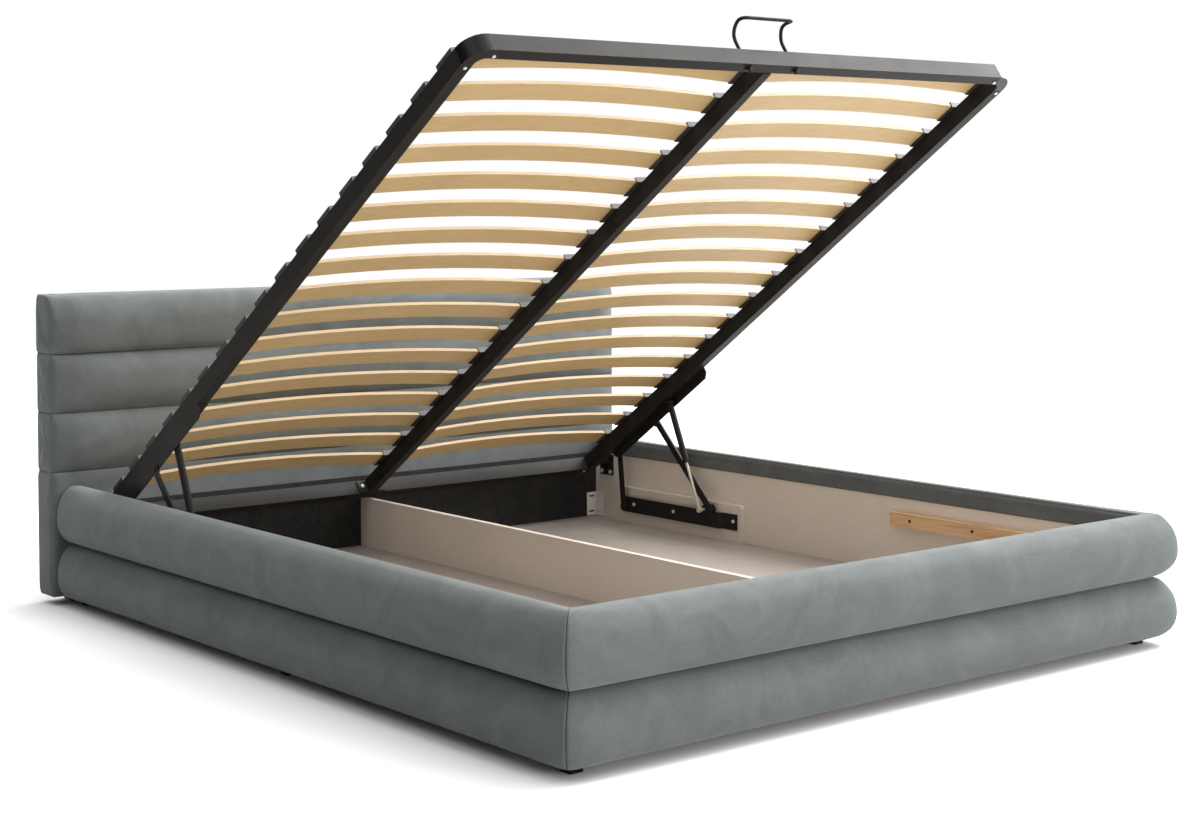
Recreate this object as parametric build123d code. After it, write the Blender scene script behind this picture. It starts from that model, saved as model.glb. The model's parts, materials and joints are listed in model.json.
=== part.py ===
from build123d import *
import math
import os

# Storage bed with an upholstered box, a padded headboard and a slatted platform
# that turns up at the foot. Millimetres, +Z up, -Y toward the foot, origin on
# the floor at the centre of the footprint. It is modelled with the platform up.

os.makedirs("parts", exist_ok=True)

# Clearances shared by all pieces
FACE_GAP = 0.3
PIN_GAP = 0.05
SEAT_GAP = 0.2
OVERRUN = 6.0

# Padded base: two tiers of padding that meet in a crease
BASE_HALF_WIDTH = 879.3
BASE_LENGTH = 2038.5
BASE_BOTTOM = 17.0
CREASE_HEIGHT = 157.7
BASE_TOP = 306.7
PAD_BULGE = 44.8
PAD_BACK = 13.3
TOP_INSET = 8.0
TOP_CROWN = 2.4
TUCK_RADIUS = 5.0
BAND_BOTTOM = 256.0
BAND_THICKNESS = 1.5
BULGE_SHARE = 0.59
FOOT_REACH = 4.0

# Box inside the padding
BOARD_THICKNESS = 16.0
BOARD_TOP = 296.0
FLOOR_TOP = 58.0
FLOOR_THICKNESS = 8.0
DIVIDER_THICKNESS = 16.0
DIVIDER_TOP = 195.0
LINING_THICKNESS = 5.0
LINING_TOP = 255.0
FLOOR_BATTEN_WIDTH = 30.0
CENTRE_BATTEN_WIDTH = 44.0

# Pine ledges that the closed platform comes down beside and onto
LEDGE_THICKNESS = 20.0
LEDGE_HEIGHT = 35.0
LEDGE_TOP = 219.6
LEDGE_START = 1242.0
LEDGE_HANDLE_GAP = 20.0
LEDGE_SCREW_INSET = 70.0
LEDGE_SCREWS = 4
LEDGE_SCREW_RADIUS = 2.5
LEDGE_SCREW_HEAD_RADIUS = 4.5
LEDGE_SCREW_HEAD_DEPTH = 3.0
LEDGE_SCREW_LENGTH = 30.0

# Feet under the boards, the middle batten and the headboard
FOOT_SIZE = 30.0
FOOT_INSET = 8.0
FOOT_MARGIN = 9.0
HEADBOARD_FOOT_LENGTH = 60.0
HEADBOARD_FOOT_INSET = 40.0
BATTEN_FOOT_SHARES = (0.25, 0.75)

# Corner brackets on the floor of the box
BRACKET_LEG = 36.0
BRACKET_THICKNESS = 1.6
BRACKET_LIFT = 2.0
BRACKET_HEIGHT = 71.0
BRACKET_SLOT_LENGTH = 22.0
BRACKET_SLOT_WIDTH = 5.0
BRACKET_SLOT_INSET = 12.0

# Headboard
HEAD_OVERHANG = 52.4
HEAD_DEPTH = 95.7
HEAD_BOTTOM = 22.0
HEAD_TOP = 794.0
LOWER_SEAM = 340.6
CHANNELS = 3
CHANNEL_CROWN = 13.0
SIDE_CROWN = 5.0
HEAD_TOP_RADIUS = 30.0
HEAD_EDGE_RADIUS = 20.0
CORE_SIDE_PAD = 31.7
CORE_TOP_PAD = 34.0
CORE_FRONT_PAD = 40.0
BACK_CLOTH_THICKNESS = 5.7
BACK_CLOTH_MARGIN = 8.0

# Platform frame, measured from its head end (V) and its underside (W)
PLATFORM_SIDE_GAP = 40.0
PLATFORM_FOOT_GAP = 8.2
TUBE_HEIGHT = 40.0
TUBE_WIDTH = 28.0
TUBE_WALL = 2.0
CENTRE_BAR_WIDTH = 24.0
FOOT_CORNER_RADIUS = 50.0
CAP_PLUG_LENGTH = 30.0
HEAD_PLUG_GAP = 7.5
HEAD_CAP_THICKNESS = 6.0
RIVET_RADIUS = 4.0
RIVET_HEIGHT = 2.0
RIVET_INSET = 10.0
RIVET_EDGE = 8.0
FLANGE_HALF_WIDTH = 42.0
FLANGE_THICKNESS = 4.0
FLANGE_MARGIN = 3.0
FLANGE_BOLT_SPACING = 60.0
FLANGE_BOLT_RADIUS = 5.0
FLANGE_BOLT_HEIGHT = 4.0

# Lift hinge and travel
OPEN_ANGLE = 34.8
CLOSED_SETBACK = 16.0
REST_GAP = 0.4
CLOSED_HEIGHT = LEDGE_TOP + REST_GAP
HINGE_V = 44.0
HINGE_W = 12.0
HINGE_PIN_RADIUS = 6.0
HINGE_BOSS_RADIUS = 10.0
HINGE_HEAD_RADIUS = 9.0
HINGE_HEAD_THICKNESS = 3.5
HINGE_PLATE_THICKNESS = 4.0
HINGE_PLATE_WIDTH = 60.0
HINGE_PLATE_BOTTOM = 190.0
HINGE_PLATE_TOP = 252.0
HINGE_SCREW_RADIUS = 3.0
HINGE_SCREW_HEAD_RADIUS = 6.0
HINGE_SCREW_HEAD_HEIGHT = 3.0
HINGE_SCREW_LENGTH = 14.0
HINGE_SCREW_INSET = 10.0

# Slats and their holders
SLATS = 17
SLAT_WIDTH = 56.0
SLAT_THICKNESS = 8.0
SLAT_CROWN = 19.0
FIRST_SLAT_V = 144.5
LAST_SLAT_INSET = 91.7
SLAT_SEAT = 1.5
SLAT_END_GAP = 8.0
HOLDER_REACH = 12.0
HOLDER_MOUTH_HEIGHT = 15.5
HOLDER_OUTER_HEIGHT = 10.8
HOLDER_ROOF = 2.0
HOLDER_WALL = 2.0
HOLDER_ROUNDING = 1.5
CENTRE_HOLDER_REACH = 14.0
CENTRE_HOLDER_HEIGHT = 13.8
CENTRE_HOLDER_WEB = 4.0

# Lifting handle at the foot
HANDLE_ROD_RADIUS = 4.0
HANDLE_SPACING = 142.0
HANDLE_BEND = 12.0
HANDLE_LEG_RISE = 28.0
HANDLE_SHOULDER_REACH = 8.0
HANDLE_SHOULDER_RISE = 52.0
HANDLE_APEX_REACH = 29.0
HANDLE_APEX_RISE = 63.5
HANDLE_GRIP_REACH = 54.0
HANDLE_GRIP_RISE = 55.0
HANDLE_RING_RADIUS = 9.0
HANDLE_RING_THICKNESS = 3.0
HANDLE_NUT_RADIUS = 6.0
HANDLE_NUT_THICKNESS = 5.0

# Lift mechanism: layers outward from the side tube
RAIL_THICKNESS = 3.0
RAIL_START_V = 130.0
RAIL_LENGTH = 495.0
RAIL_DEPTH = 30.0
RAIL_CHAMFER = 14.0
RAIL_TRAVEL = 124.0
ARM_GAP = 2.0
ARM_THICKNESS = 5.0
ARM_WIDTH = 20.0
ARM_EYE_RADIUS = 12.0
ARM_TIP_RADIUS = 9.0
REAR_ARM_V = 153.0
REAR_ARM_W = -9.0
REAR_ARM_BASE_Z = 108.0
FRONT_ARM_V = 351.0
FRONT_ARM_W = -27.0
FRONT_ARM_BASE_Z = 146.0
FRONT_LUG_REACH = 22.2
FRONT_LUG_DROP = 2.6
STRUT_V = 453.0
STRUT_W = -14.0
PIVOT_RADIUS = 5.0
PIVOT_HEAD_RADIUS = 7.5
PIVOT_HEAD_THICKNESS = 2.0
OPEN_PIVOT_GAP = 0.8
STRUT_INSET = 15.0
STRUT_PIN_RADIUS = 4.0
STRUT_EYE_RADIUS = 9.0
STRUT_EYE_THICKNESS = 10.0
CYLINDER_RADIUS = 9.0
CYLINDER_LENGTH = 186.0
CYLINDER_START = 11.0
ROD_RADIUS = 4.0
ROD_LENGTH = 166.0
ROD_BORE_GAP = 0.1
ROD_EYE_RADIUS = 8.0
ROD_END_SHARE = 0.75
ROD_EYE_THICKNESS = 10.0

# Base plate of the lift and the wooden plate behind it
PLATE_THICKNESS = 16.0
PLATE_START = 115.0
PLATE_END = 675.0
PLATE_TOP = 165.0
PLATE_CORNER = 12.0
STRIP_THICKNESS = 3.0
STRIP_START = 148.0
STRIP_END = 659.0
STRIP_BOTTOM = 93.0
STRIP_TOP = 139.0
STRIP_OFFSET = 10.0
REAR_TAB = 18.0
FOOT_TAB = 57.0
JOGGLE = 8.0
STRIP_LUG_RADIUS = 14.0
BASE_BOLT_PLACES = (222.0, 401.0, 645.0)
BASE_BOLT_HEIGHT = 119.0
BASE_BOLT_RADIUS = 3.0
BASE_BOLT_HEAD_RADIUS = 5.0
BASE_BOLT_HEAD_HEIGHT = 3.5
BASE_BOLT_LENGTH = 14.0
BASE_SPACER_RADIUS = 7.0

# Places worked out from the sizes above
TOTAL_LENGTH = HEAD_DEPTH + BASE_LENGTH + PAD_BULGE
HEAD_Y = TOTAL_LENGTH / 2 - HEAD_DEPTH
BOARD_OUTER = BASE_HALF_WIDTH - PAD_BACK
BOARD_INNER = BOARD_OUTER - BOARD_THICKNESS
BOARD_END = BASE_LENGTH - PAD_BACK - BOARD_THICKNESS
HEAD_HALF_WIDTH = BASE_HALF_WIDTH + HEAD_OVERHANG
PLATFORM_HALF_WIDTH = BOARD_INNER - PLATFORM_SIDE_GAP
PLATFORM_LENGTH = BOARD_END - CLOSED_SETBACK - PLATFORM_FOOT_GAP
SLAT_PITCH = (PLATFORM_LENGTH - FIRST_SLAT_V - LAST_SLAT_INSET) / (SLATS - 1)
CORE_BACK = HEAD_DEPTH - BACK_CLOTH_THICKNESS


def at(distance):
    """Y of a place that lies the given distance from the headboard, toward the foot."""
    return HEAD_Y - distance


PIVOT_Y = at(CLOSED_SETBACK + HINGE_V)
PIVOT_Z = CLOSED_HEIGHT + HINGE_W
TO_REST = Pos(0, PIVOT_Y, PIVOT_Z) * Rot(-OPEN_ANGLE, 0, 0) * Pos(0, -PIVOT_Y, -PIVOT_Z)


def box(x, y, z):
    """Block between two corners, each axis given as a pair."""
    size = (max(x) - min(x), max(y) - min(y), max(z) - min(z))
    centre = ((x[0] + x[1]) / 2, (y[0] + y[1]) / 2, (z[0] + z[1]) / 2)
    return Pos(*centre) * Box(*size)


def rod_x(x, y, z, radius):
    """Round rod along X between two places."""
    middle = (x[0] + x[1]) / 2
    return Pos(middle, y, z) * Rot(0, 90, 0) * Cylinder(radius, abs(x[1] - x[0]))


def rod_y(x, y, z, radius):
    """Round rod along Y between two places."""
    middle = (y[0] + y[1]) / 2
    return Pos(x, middle, z) * Rot(90, 0, 0) * Cylinder(radius, abs(y[1] - y[0]))


def rod_z(x, y, z, radius):
    """Upright round rod between two heights."""
    middle = (z[0] + z[1]) / 2
    return Pos(x, y, middle) * Cylinder(radius, abs(z[1] - z[0]))


def save(name, *shapes):
    """Write one sub-part, with each of its separate pieces as its own solid."""
    solids = []
    for shape in shapes:
        solids += list(shape.solids())
    for solid in solids:
        solid.label = name
    part = solids[0] if len(solids) == 1 else Compound(children=solids, label=name)
    export_step(part, "parts/" + name + ".step")


def save_pair(name, shape):
    """Write the right-hand sub-part and its mirror image."""
    save(name + "_right", shape)
    save(name + "_left", mirror(shape, about=Plane.YZ))


def both_sides(shape):
    """The right-hand piece with its mirror image."""
    return [shape, mirror(shape, about=Plane.YZ)]


# Padded tiers of the base


def bulge_height(low, high):
    """Height at which a tier stands out most."""
    return high - BULGE_SHARE * (high - low)


def quarter(centre, reach, rise, first):
    """Quarter of an ellipse about a place, counted from the given quadrant's start."""
    return EllipticalCenterArc(centre, reach, rise, start_angle=first, arc_size=90)


def lower_tier_face():
    """Section of the lower tier: round toward the floor, drawn in to the crease."""
    bulge = bulge_height(BASE_BOTTOM, CREASE_HEIGHT)
    back_low = (-PAD_BACK, BASE_BOTTOM)
    back_high = (-PAD_BACK, CREASE_HEIGHT)
    edge = Line(back_low, (FOOT_REACH, BASE_BOTTOM))
    edge += quarter((FOOT_REACH, bulge), PAD_BULGE - FOOT_REACH, bulge - BASE_BOTTOM, -90)
    edge += quarter((0, bulge), PAD_BULGE, CREASE_HEIGHT - bulge, 0)
    edge += Polyline((0, CREASE_HEIGHT), back_high, back_low)
    return make_face(edge)


def upper_tier_face():
    """Section of the upper tier: drawn in at the crease, round on top, tucked over the board."""
    bulge = bulge_height(CREASE_HEIGHT, BASE_TOP)
    inner = -PAD_BACK - BOARD_THICKNESS
    tuck = (inner, BASE_TOP - TOP_CROWN - TUCK_RADIUS)
    top_inner = (inner + TUCK_RADIUS, BASE_TOP - TOP_CROWN)
    crown = (-TOP_INSET, BASE_TOP)
    crease = (0, CREASE_HEIGHT)
    edge = Polyline(crease, (-PAD_BACK, CREASE_HEIGHT), (-PAD_BACK, BOARD_TOP), (inner, BOARD_TOP), tuck)
    edge += TangentArc([tuck, top_inner], tangent=(0, 1))
    edge += TangentArc([crown, top_inner], tangent=(-1, 0))
    edge += quarter((-TOP_INSET, bulge), PAD_BULGE + TOP_INSET, BASE_TOP - bulge, 0)
    edge += quarter((0, bulge), PAD_BULGE, bulge - CREASE_HEIGHT, -90)
    return make_face(edge)


def mitre_prism(points):
    """Upright prism that trims a run of padding to its mitred corners."""
    outline = make_face(Polyline(*points, close=True))
    return extrude(outline, BASE_TOP + OVERRUN)


def padded_runs(name, face):
    """Right, left and foot runs of one tier, mitred at the foot corners."""
    reach_out = PAD_BULGE + OVERRUN
    reach_in = PAD_BACK + BOARD_THICKNESS + OVERRUN
    outer = (BASE_HALF_WIDTH + reach_out, at(BASE_LENGTH + reach_out))
    inner = (BASE_HALF_WIDTH - reach_in, at(BASE_LENGTH - reach_in))
    side_plane = Plane(origin=(BASE_HALF_WIDTH, HEAD_Y, 0), x_dir=(1, 0, 0), z_dir=(0, -1, 0))
    side_run = extrude(side_plane * face, BASE_LENGTH + reach_out)
    side_prism = mitre_prism([outer, inner, (inner[0], HEAD_Y), (outer[0], HEAD_Y)])
    save_pair("bolster_" + name, side_run & side_prism)
    foot_plane = Plane(origin=(outer[0], at(BASE_LENGTH), 0), x_dir=(0, -1, 0), z_dir=(-1, 0, 0))
    foot_run = extrude(foot_plane * face, 2 * outer[0])
    foot_prism = mitre_prism([outer, inner, (-inner[0], inner[1]), (-outer[0], outer[1])])
    save("bolster_" + name + "_foot", foot_run & foot_prism)


padded_runs("lower", lower_tier_face())
padded_runs("upper", upper_tier_face())


# Headboard: a board wrapped in padding, with three channels over a flat panel


def headboard_core():
    """Stiff board inside the headboard."""
    half = HEAD_HALF_WIDTH - CORE_SIDE_PAD
    depth = (HEAD_Y + CORE_FRONT_PAD, HEAD_Y + CORE_BACK)
    return box((-half, half), depth, (HEAD_BOTTOM, HEAD_TOP - CORE_TOP_PAD))


def plan_prism(low, high):
    """Headboard plan with its upright front edges rounded, between two heights."""
    half = HEAD_HALF_WIDTH
    front = HEAD_Y - CHANNEL_CROWN
    block = box((-half, half), (front, HEAD_Y + CORE_BACK), (low, high))
    edges = block.edges().filter_by(Axis.Z).group_by(Axis.Y)[0]
    return fillet(edges, HEAD_EDGE_RADIUS)


def front_profile(low, high, top):
    """Side view of a channel, crowned toward the foot, as an X-long solid."""
    back = HEAD_Y + CORE_BACK
    middle = (low + high) / 2
    if top:
        rise = high - HEAD_TOP_RADIUS
        crown = (HEAD_Y - CHANNEL_CROWN, (low + rise) / 2)
        edge = ThreePointArc((HEAD_Y, low), crown, (HEAD_Y, rise))
        edge += TangentArc([(HEAD_Y + HEAD_TOP_RADIUS, high), (HEAD_Y, rise)], tangent=(-1, 0))
        edge += Polyline((HEAD_Y + HEAD_TOP_RADIUS, high), (back, high), (back, low), (HEAD_Y, low))
    else:
        edge = ThreePointArc((HEAD_Y, low), (HEAD_Y - CHANNEL_CROWN, middle), (HEAD_Y, high))
        edge += Polyline((HEAD_Y, high), (back, high), (back, low), (HEAD_Y, low))
    plane = Plane(origin=(-HEAD_HALF_WIDTH, 0, 0), x_dir=(0, 1, 0), z_dir=(1, 0, 0))
    return extrude(plane * make_face(edge), 2 * HEAD_HALF_WIDTH)


def end_profile(low, high):
    """Front view of a channel, drawn in at its seams where they turn the corner."""
    seam = HEAD_HALF_WIDTH - SIDE_CROWN
    middle = (low + high) / 2
    edge = ThreePointArc((seam, low), (HEAD_HALF_WIDTH, middle), (seam, high))
    edge += Line((seam, high), (-seam, high))
    edge += ThreePointArc((-seam, high), (-HEAD_HALF_WIDTH, middle), (-seam, low))
    edge += Line((-seam, low), (seam, low))
    plane = Plane(origin=(0, HEAD_Y + HEAD_DEPTH, 0), x_dir=(1, 0, 0), z_dir=(0, -1, 0))
    return extrude(plane * make_face(edge), HEAD_DEPTH + CHANNEL_CROWN + OVERRUN)


def headboard():
    """Core, back cloth, lower panel and the stack of channels."""
    core = headboard_core()
    save("headboard_core", core)
    cloth_half = HEAD_HALF_WIDTH - BACK_CLOTH_MARGIN
    cloth_depth = (HEAD_Y + CORE_BACK, HEAD_Y + HEAD_DEPTH)
    cloth_height = (HEAD_BOTTOM, HEAD_TOP - BACK_CLOTH_MARGIN)
    save("headboard_back_cloth", box((-cloth_half, cloth_half), cloth_depth, cloth_height))
    lower = box((-HEAD_HALF_WIDTH, HEAD_HALF_WIDTH), (HEAD_Y, HEAD_Y + CORE_BACK), (HEAD_BOTTOM, LOWER_SEAM))
    front_edges = lower.edges().filter_by(Axis.Z).group_by(Axis.Y)[0]
    lower = fillet(front_edges, HEAD_EDGE_RADIUS)
    save("headboard_lower_panel", lower - core)
    pitch = (HEAD_TOP - LOWER_SEAM) / CHANNELS
    names = ("low", "middle", "top")
    for index, name in enumerate(names):
        low = LOWER_SEAM + index * pitch
        high = low + pitch
        channel = front_profile(low, high, name == names[-1]) & end_profile(low, high)
        channel = channel & plan_prism(low, high)
        save("headboard_channel_" + name, channel - core)


headboard()


# Box: boards, floor, divider, lining, ledges, brackets and feet


def ledge_screw_holes(gap):
    """Screws of the right-hand ledge, grown by a gap when they are used as holes."""
    face = BOARD_INNER - LEDGE_THICKNESS
    z = LEDGE_TOP - LEDGE_HEIGHT / 2
    first = LEDGE_START + LEDGE_SCREW_INSET
    last = BOARD_END - LEDGE_SCREW_INSET
    step = (last - first) / (LEDGE_SCREWS - 1)
    screws = []
    for index in range(LEDGE_SCREWS):
        y = at(first + index * step)
        head = rod_x((face - gap, face + LEDGE_SCREW_HEAD_DEPTH + gap), y, z, LEDGE_SCREW_HEAD_RADIUS + gap)
        shank = rod_x((face - gap, face + LEDGE_SCREW_LENGTH + gap), y, z, LEDGE_SCREW_RADIUS + gap)
        screws.append(head + shank)
    return screws


def ledges_and_boards():
    """Side and foot boards with their pine ledges and the screws that hold them."""
    board_height = (BASE_BOTTOM, BOARD_TOP)
    screws = ledge_screw_holes(0)
    holes = ledge_screw_holes(SEAT_GAP)
    board = box((BOARD_INNER, BOARD_OUTER), (at(BOARD_END), HEAD_Y), board_height)
    ledge_run = (at(BOARD_END), at(LEDGE_START))
    ledge_height = (LEDGE_TOP - LEDGE_HEIGHT, LEDGE_TOP)
    ledge = box((BOARD_INNER - LEDGE_THICKNESS, BOARD_INNER), ledge_run, ledge_height)
    fixing = hinge_screws(SEAT_GAP) + base_bolts(SEAT_GAP)
    for hole in holes:
        ledge = ledge - hole
    for hole in holes + fixing:
        board = board - hole
    save_pair("side_board", board)
    all_screws = []
    for screw in screws:
        all_screws += both_sides(screw)
    save("ledge_screws", *all_screws)
    foot_depth = (at(BOARD_END + BOARD_THICKNESS), at(BOARD_END))
    save("foot_board", box((-BOARD_OUTER, BOARD_OUTER), foot_depth, board_height))
    inner = BOARD_INNER - LEDGE_THICKNESS
    foot_ledge_depth = (at(BOARD_END), at(BOARD_END - LEDGE_THICKNESS))
    foot_ledge = box((HANDLE_SPACING / 2 + LEDGE_HANDLE_GAP, inner), foot_ledge_depth, ledge_height)
    save("platform_ledges", *both_sides(ledge), *both_sides(foot_ledge))


def floor_and_divider():
    """Floor panels on battens, the divider along the middle and the rear lining."""
    lining_face = at(LINING_THICKNESS)
    foot_face = at(BOARD_END)
    run = (foot_face, lining_face)
    floor_height = (FLOOR_TOP - FLOOR_THICKNESS, FLOOR_TOP)
    save_pair("floor_panel", box((0, BOARD_INNER), run, floor_height))
    batten_height = (BASE_BOTTOM, FLOOR_TOP - FLOOR_THICKNESS)
    side_batten = box((BOARD_INNER - FLOOR_BATTEN_WIDTH, BOARD_INNER), run, batten_height)
    half = CENTRE_BATTEN_WIDTH / 2
    centre_batten = box((-half, half), run, batten_height)
    save("floor_battens", *both_sides(side_batten), centre_batten)
    half = DIVIDER_THICKNESS / 2
    save("divider_board", box((-half, half), run, (FLOOR_TOP, DIVIDER_TOP)))
    lining_height = (FLOOR_TOP - FLOOR_THICKNESS, LINING_TOP)
    save("rear_lining_panel", box((-BOARD_INNER, BOARD_INNER), (lining_face, HEAD_Y), lining_height))


def inner_band():
    """Cover cloth turned in over the boards, as a thin band along three sides."""
    height = (BAND_BOTTOM, BOARD_TOP)
    inner = BOARD_INNER - BAND_THICKNESS
    outside = box((-BOARD_INNER, BOARD_INNER), (at(BOARD_END), HEAD_Y), height)
    inside = box((-inner, inner), (at(BOARD_END - BAND_THICKNESS), HEAD_Y + OVERRUN), height)
    save("inner_cloth_band", outside - inside)


def corner_bracket():
    """Slotted angle in the rear right corner of the box."""
    low = FLOOR_TOP + BRACKET_LIFT
    high = low + BRACKET_HEIGHT
    rear = at(LINING_THICKNESS)
    along_lining = box(
        (BOARD_INNER - BRACKET_LEG, BOARD_INNER), (rear - BRACKET_THICKNESS, rear), (low, high)
    )
    along_board = box(
        (BOARD_INNER - BRACKET_THICKNESS, BOARD_INNER), (rear - BRACKET_LEG, rear), (low, high)
    )
    bracket = along_lining + along_board
    slot = Plane.XZ * SlotOverall(BRACKET_SLOT_LENGTH, BRACKET_SLOT_WIDTH)
    cutter = extrude(slot, OVERRUN, both=True)
    for z in (low + BRACKET_SLOT_INSET, high - BRACKET_SLOT_INSET):
        bracket = bracket - Pos(BOARD_INNER - BRACKET_LEG / 2, rear, z) * cutter
        bracket = bracket - Pos(BOARD_INNER, rear - BRACKET_LEG / 2, z) * Rot(0, 0, 90) * cutter
    return bracket


def corner_brackets():
    """The same angle in all four corners of the box."""
    rear = corner_bracket()
    rear_y = at(LINING_THICKNESS)
    foot_y = at(BOARD_END)
    foot = mirror(rear, about=Plane.XZ)
    foot = Pos(0, foot_y + rear_y, 0) * foot
    save("corner_brackets", *both_sides(rear), *both_sides(foot))


def feet():
    """Pads under the side boards, the middle batten and the headboard."""
    pads = []
    outer = BOARD_OUTER - FOOT_MARGIN
    head = FOOT_INSET + FOOT_SIZE / 2
    foot = BOARD_END + BOARD_THICKNESS - FOOT_MARGIN - FOOT_SIZE / 2
    for distance in (head, (head + foot) / 2, foot):
        run = (at(distance + FOOT_SIZE / 2), at(distance - FOOT_SIZE / 2))
        pads += both_sides(box((outer - FOOT_SIZE, outer), run, (0, BASE_BOTTOM)))
    half = CENTRE_BATTEN_WIDTH / 2
    for share in BATTEN_FOOT_SHARES:
        distance = share * BOARD_END
        run = (at(distance + FOOT_SIZE / 2), at(distance - FOOT_SIZE / 2))
        pads.append(box((-half, half), run, (0, BASE_BOTTOM)))
    end = HEAD_HALF_WIDTH - CORE_SIDE_PAD - HEADBOARD_FOOT_INSET
    depth = (HEAD_Y + CORE_FRONT_PAD, HEAD_Y + CORE_BACK)
    pad = box((end - HEADBOARD_FOOT_LENGTH, end), depth, (0, HEAD_BOTTOM))
    save("feet", *pads, *both_sides(pad))


# Lift mechanism, right-hand side, in the open pose

RAIL_INNER = PLATFORM_HALF_WIDTH - RAIL_THICKNESS
ARM_X = PLATFORM_HALF_WIDTH + ARM_GAP
ARM_OUTER = ARM_X + ARM_THICKNESS
PLATE_FACE = BOARD_INNER - PLATE_THICKNESS
STRIP_X = PLATE_FACE - STRIP_OFFSET - STRIP_THICKNESS
STRUT_X = PLATFORM_HALF_WIDTH - STRUT_INSET


def closed_point(v, w):
    """Y and Z of a place on the platform while it is down."""
    return at(CLOSED_SETBACK + v), CLOSED_HEIGHT + w


def open_point(v, w):
    """Y and Z of a place on the platform while it is up."""
    y, z = closed_point(v, w)
    angle = math.radians(OPEN_ANGLE)
    across = y - PIVOT_Y
    up = z - PIVOT_Z
    turned_y = across * math.cos(angle) + up * math.sin(angle)
    turned_z = up * math.cos(angle) - across * math.sin(angle)
    return PIVOT_Y + turned_y, PIVOT_Z + turned_z


def base_pivot(v, w, base_z):
    """Place at the given height that keeps one distance from the arm's tip, up and down."""
    up = open_point(v, w)
    down = closed_point(v - RAIL_TRAVEL, w)
    middle_y = (up[0] + down[0]) / 2
    middle_z = (up[1] + down[1]) / 2
    slope = (up[1] - down[1]) / (up[0] - down[0])
    return middle_y - (base_z - middle_z) * slope, base_z


REAR_TIP = open_point(REAR_ARM_V, REAR_ARM_W)
REAR_BASE = base_pivot(REAR_ARM_V, REAR_ARM_W, REAR_ARM_BASE_Z)
FRONT_TIP = open_point(FRONT_ARM_V, FRONT_ARM_W)
FRONT_BASE = base_pivot(FRONT_ARM_V, FRONT_ARM_W, FRONT_ARM_BASE_Z)
STRUT_TOP = open_point(STRUT_V, STRUT_W)
STRUT_FOOT = (FRONT_BASE[0] + FRONT_LUG_REACH, FRONT_BASE[1] - FRONT_LUG_DROP)


def link(start, end, width, x, thickness):
    """Flat bar with round ends between two places in the Y-Z plane."""
    dy = end[0] - start[0]
    dz = end[1] - start[1]
    length = math.hypot(dy, dz)
    middle = (x, (start[0] + end[0]) / 2, (start[1] + end[1]) / 2)
    plane = Plane(origin=middle, x_dir=(0, dy, dz), z_dir=(1, 0, 0))
    return extrude(plane * SlotCenterToCenter(length, width), thickness)


def lift_rail():
    """Angle rail under the side tube with the pins of both arms and of the strut."""
    end = RAIL_START_V + RAIL_LENGTH
    top = -SEAT_GAP
    flange_z = (CLOSED_HEIGHT + top - RAIL_THICKNESS, CLOSED_HEIGHT + top)
    run = (closed_point(end, 0)[0], closed_point(RAIL_START_V, 0)[0])
    flat = box((PLATFORM_HALF_WIDTH - TUBE_WIDTH, PLATFORM_HALF_WIDTH), run, flange_z)
    corners = [
        closed_point(RAIL_START_V, top),
        closed_point(end, top),
        closed_point(end, -RAIL_DEPTH + RAIL_CHAMFER),
        closed_point(end - RAIL_CHAMFER, -RAIL_DEPTH),
        closed_point(RAIL_START_V + RAIL_CHAMFER, -RAIL_DEPTH),
        closed_point(RAIL_START_V, -RAIL_DEPTH + RAIL_CHAMFER),
    ]
    plane = Plane(origin=(RAIL_INNER, 0, 0), x_dir=(0, 1, 0), z_dir=(1, 0, 0))
    web = extrude(plane * make_face(Polyline(*corners, close=True)), RAIL_THICKNESS)
    lug_y, lug_z = closed_point(FRONT_ARM_V, FRONT_ARM_W)
    web = web + rod_x((RAIL_INNER, PLATFORM_HALF_WIDTH), lug_y, lug_z, ARM_EYE_RADIUS)
    rail = flat + web
    for v, w in ((REAR_ARM_V, REAR_ARM_W), (FRONT_ARM_V, FRONT_ARM_W)):
        y, z = closed_point(v, w)
        head = ARM_OUTER + FACE_GAP
        rail = rail + rod_x((RAIL_INNER, head + PIVOT_HEAD_THICKNESS), y, z, PIVOT_RADIUS)
        rail = rail + rod_x((head, head + PIVOT_HEAD_THICKNESS), y, z, PIVOT_HEAD_RADIUS)
    y, z = closed_point(STRUT_V, STRUT_W)
    eye = STRUT_X - STRUT_EYE_THICKNESS / 2 - FACE_GAP
    rail = rail + rod_x((eye, RAIL_INNER), y, z, STRUT_PIN_RADIUS)
    rail = rail + rod_x((eye - PIVOT_HEAD_THICKNESS, eye), y, z, STRUT_PIN_RADIUS + PIVOT_HEAD_THICKNESS)
    return TO_REST * rail


def pivot_bore(place, radius):
    """Hole through an arm for a pin that turns in it."""
    return rod_x((ARM_X - OVERRUN, ARM_OUTER + OVERRUN), place[0], place[1], radius + PIN_GAP)


def rear_arm():
    """Arm from the base plate's rear end to the rail."""
    arm = link(REAR_BASE, REAR_TIP, 2 * ARM_TIP_RADIUS, ARM_X, ARM_THICKNESS)
    arm = arm + rod_x((ARM_X, ARM_OUTER), REAR_BASE[0], REAR_BASE[1], ARM_EYE_RADIUS)
    arm = arm - pivot_bore(REAR_TIP, PIVOT_RADIUS)
    stub = rod_x((ARM_X, STRIP_X - OPEN_PIVOT_GAP), REAR_BASE[0], REAR_BASE[1], PIVOT_RADIUS)
    return arm + stub


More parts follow.
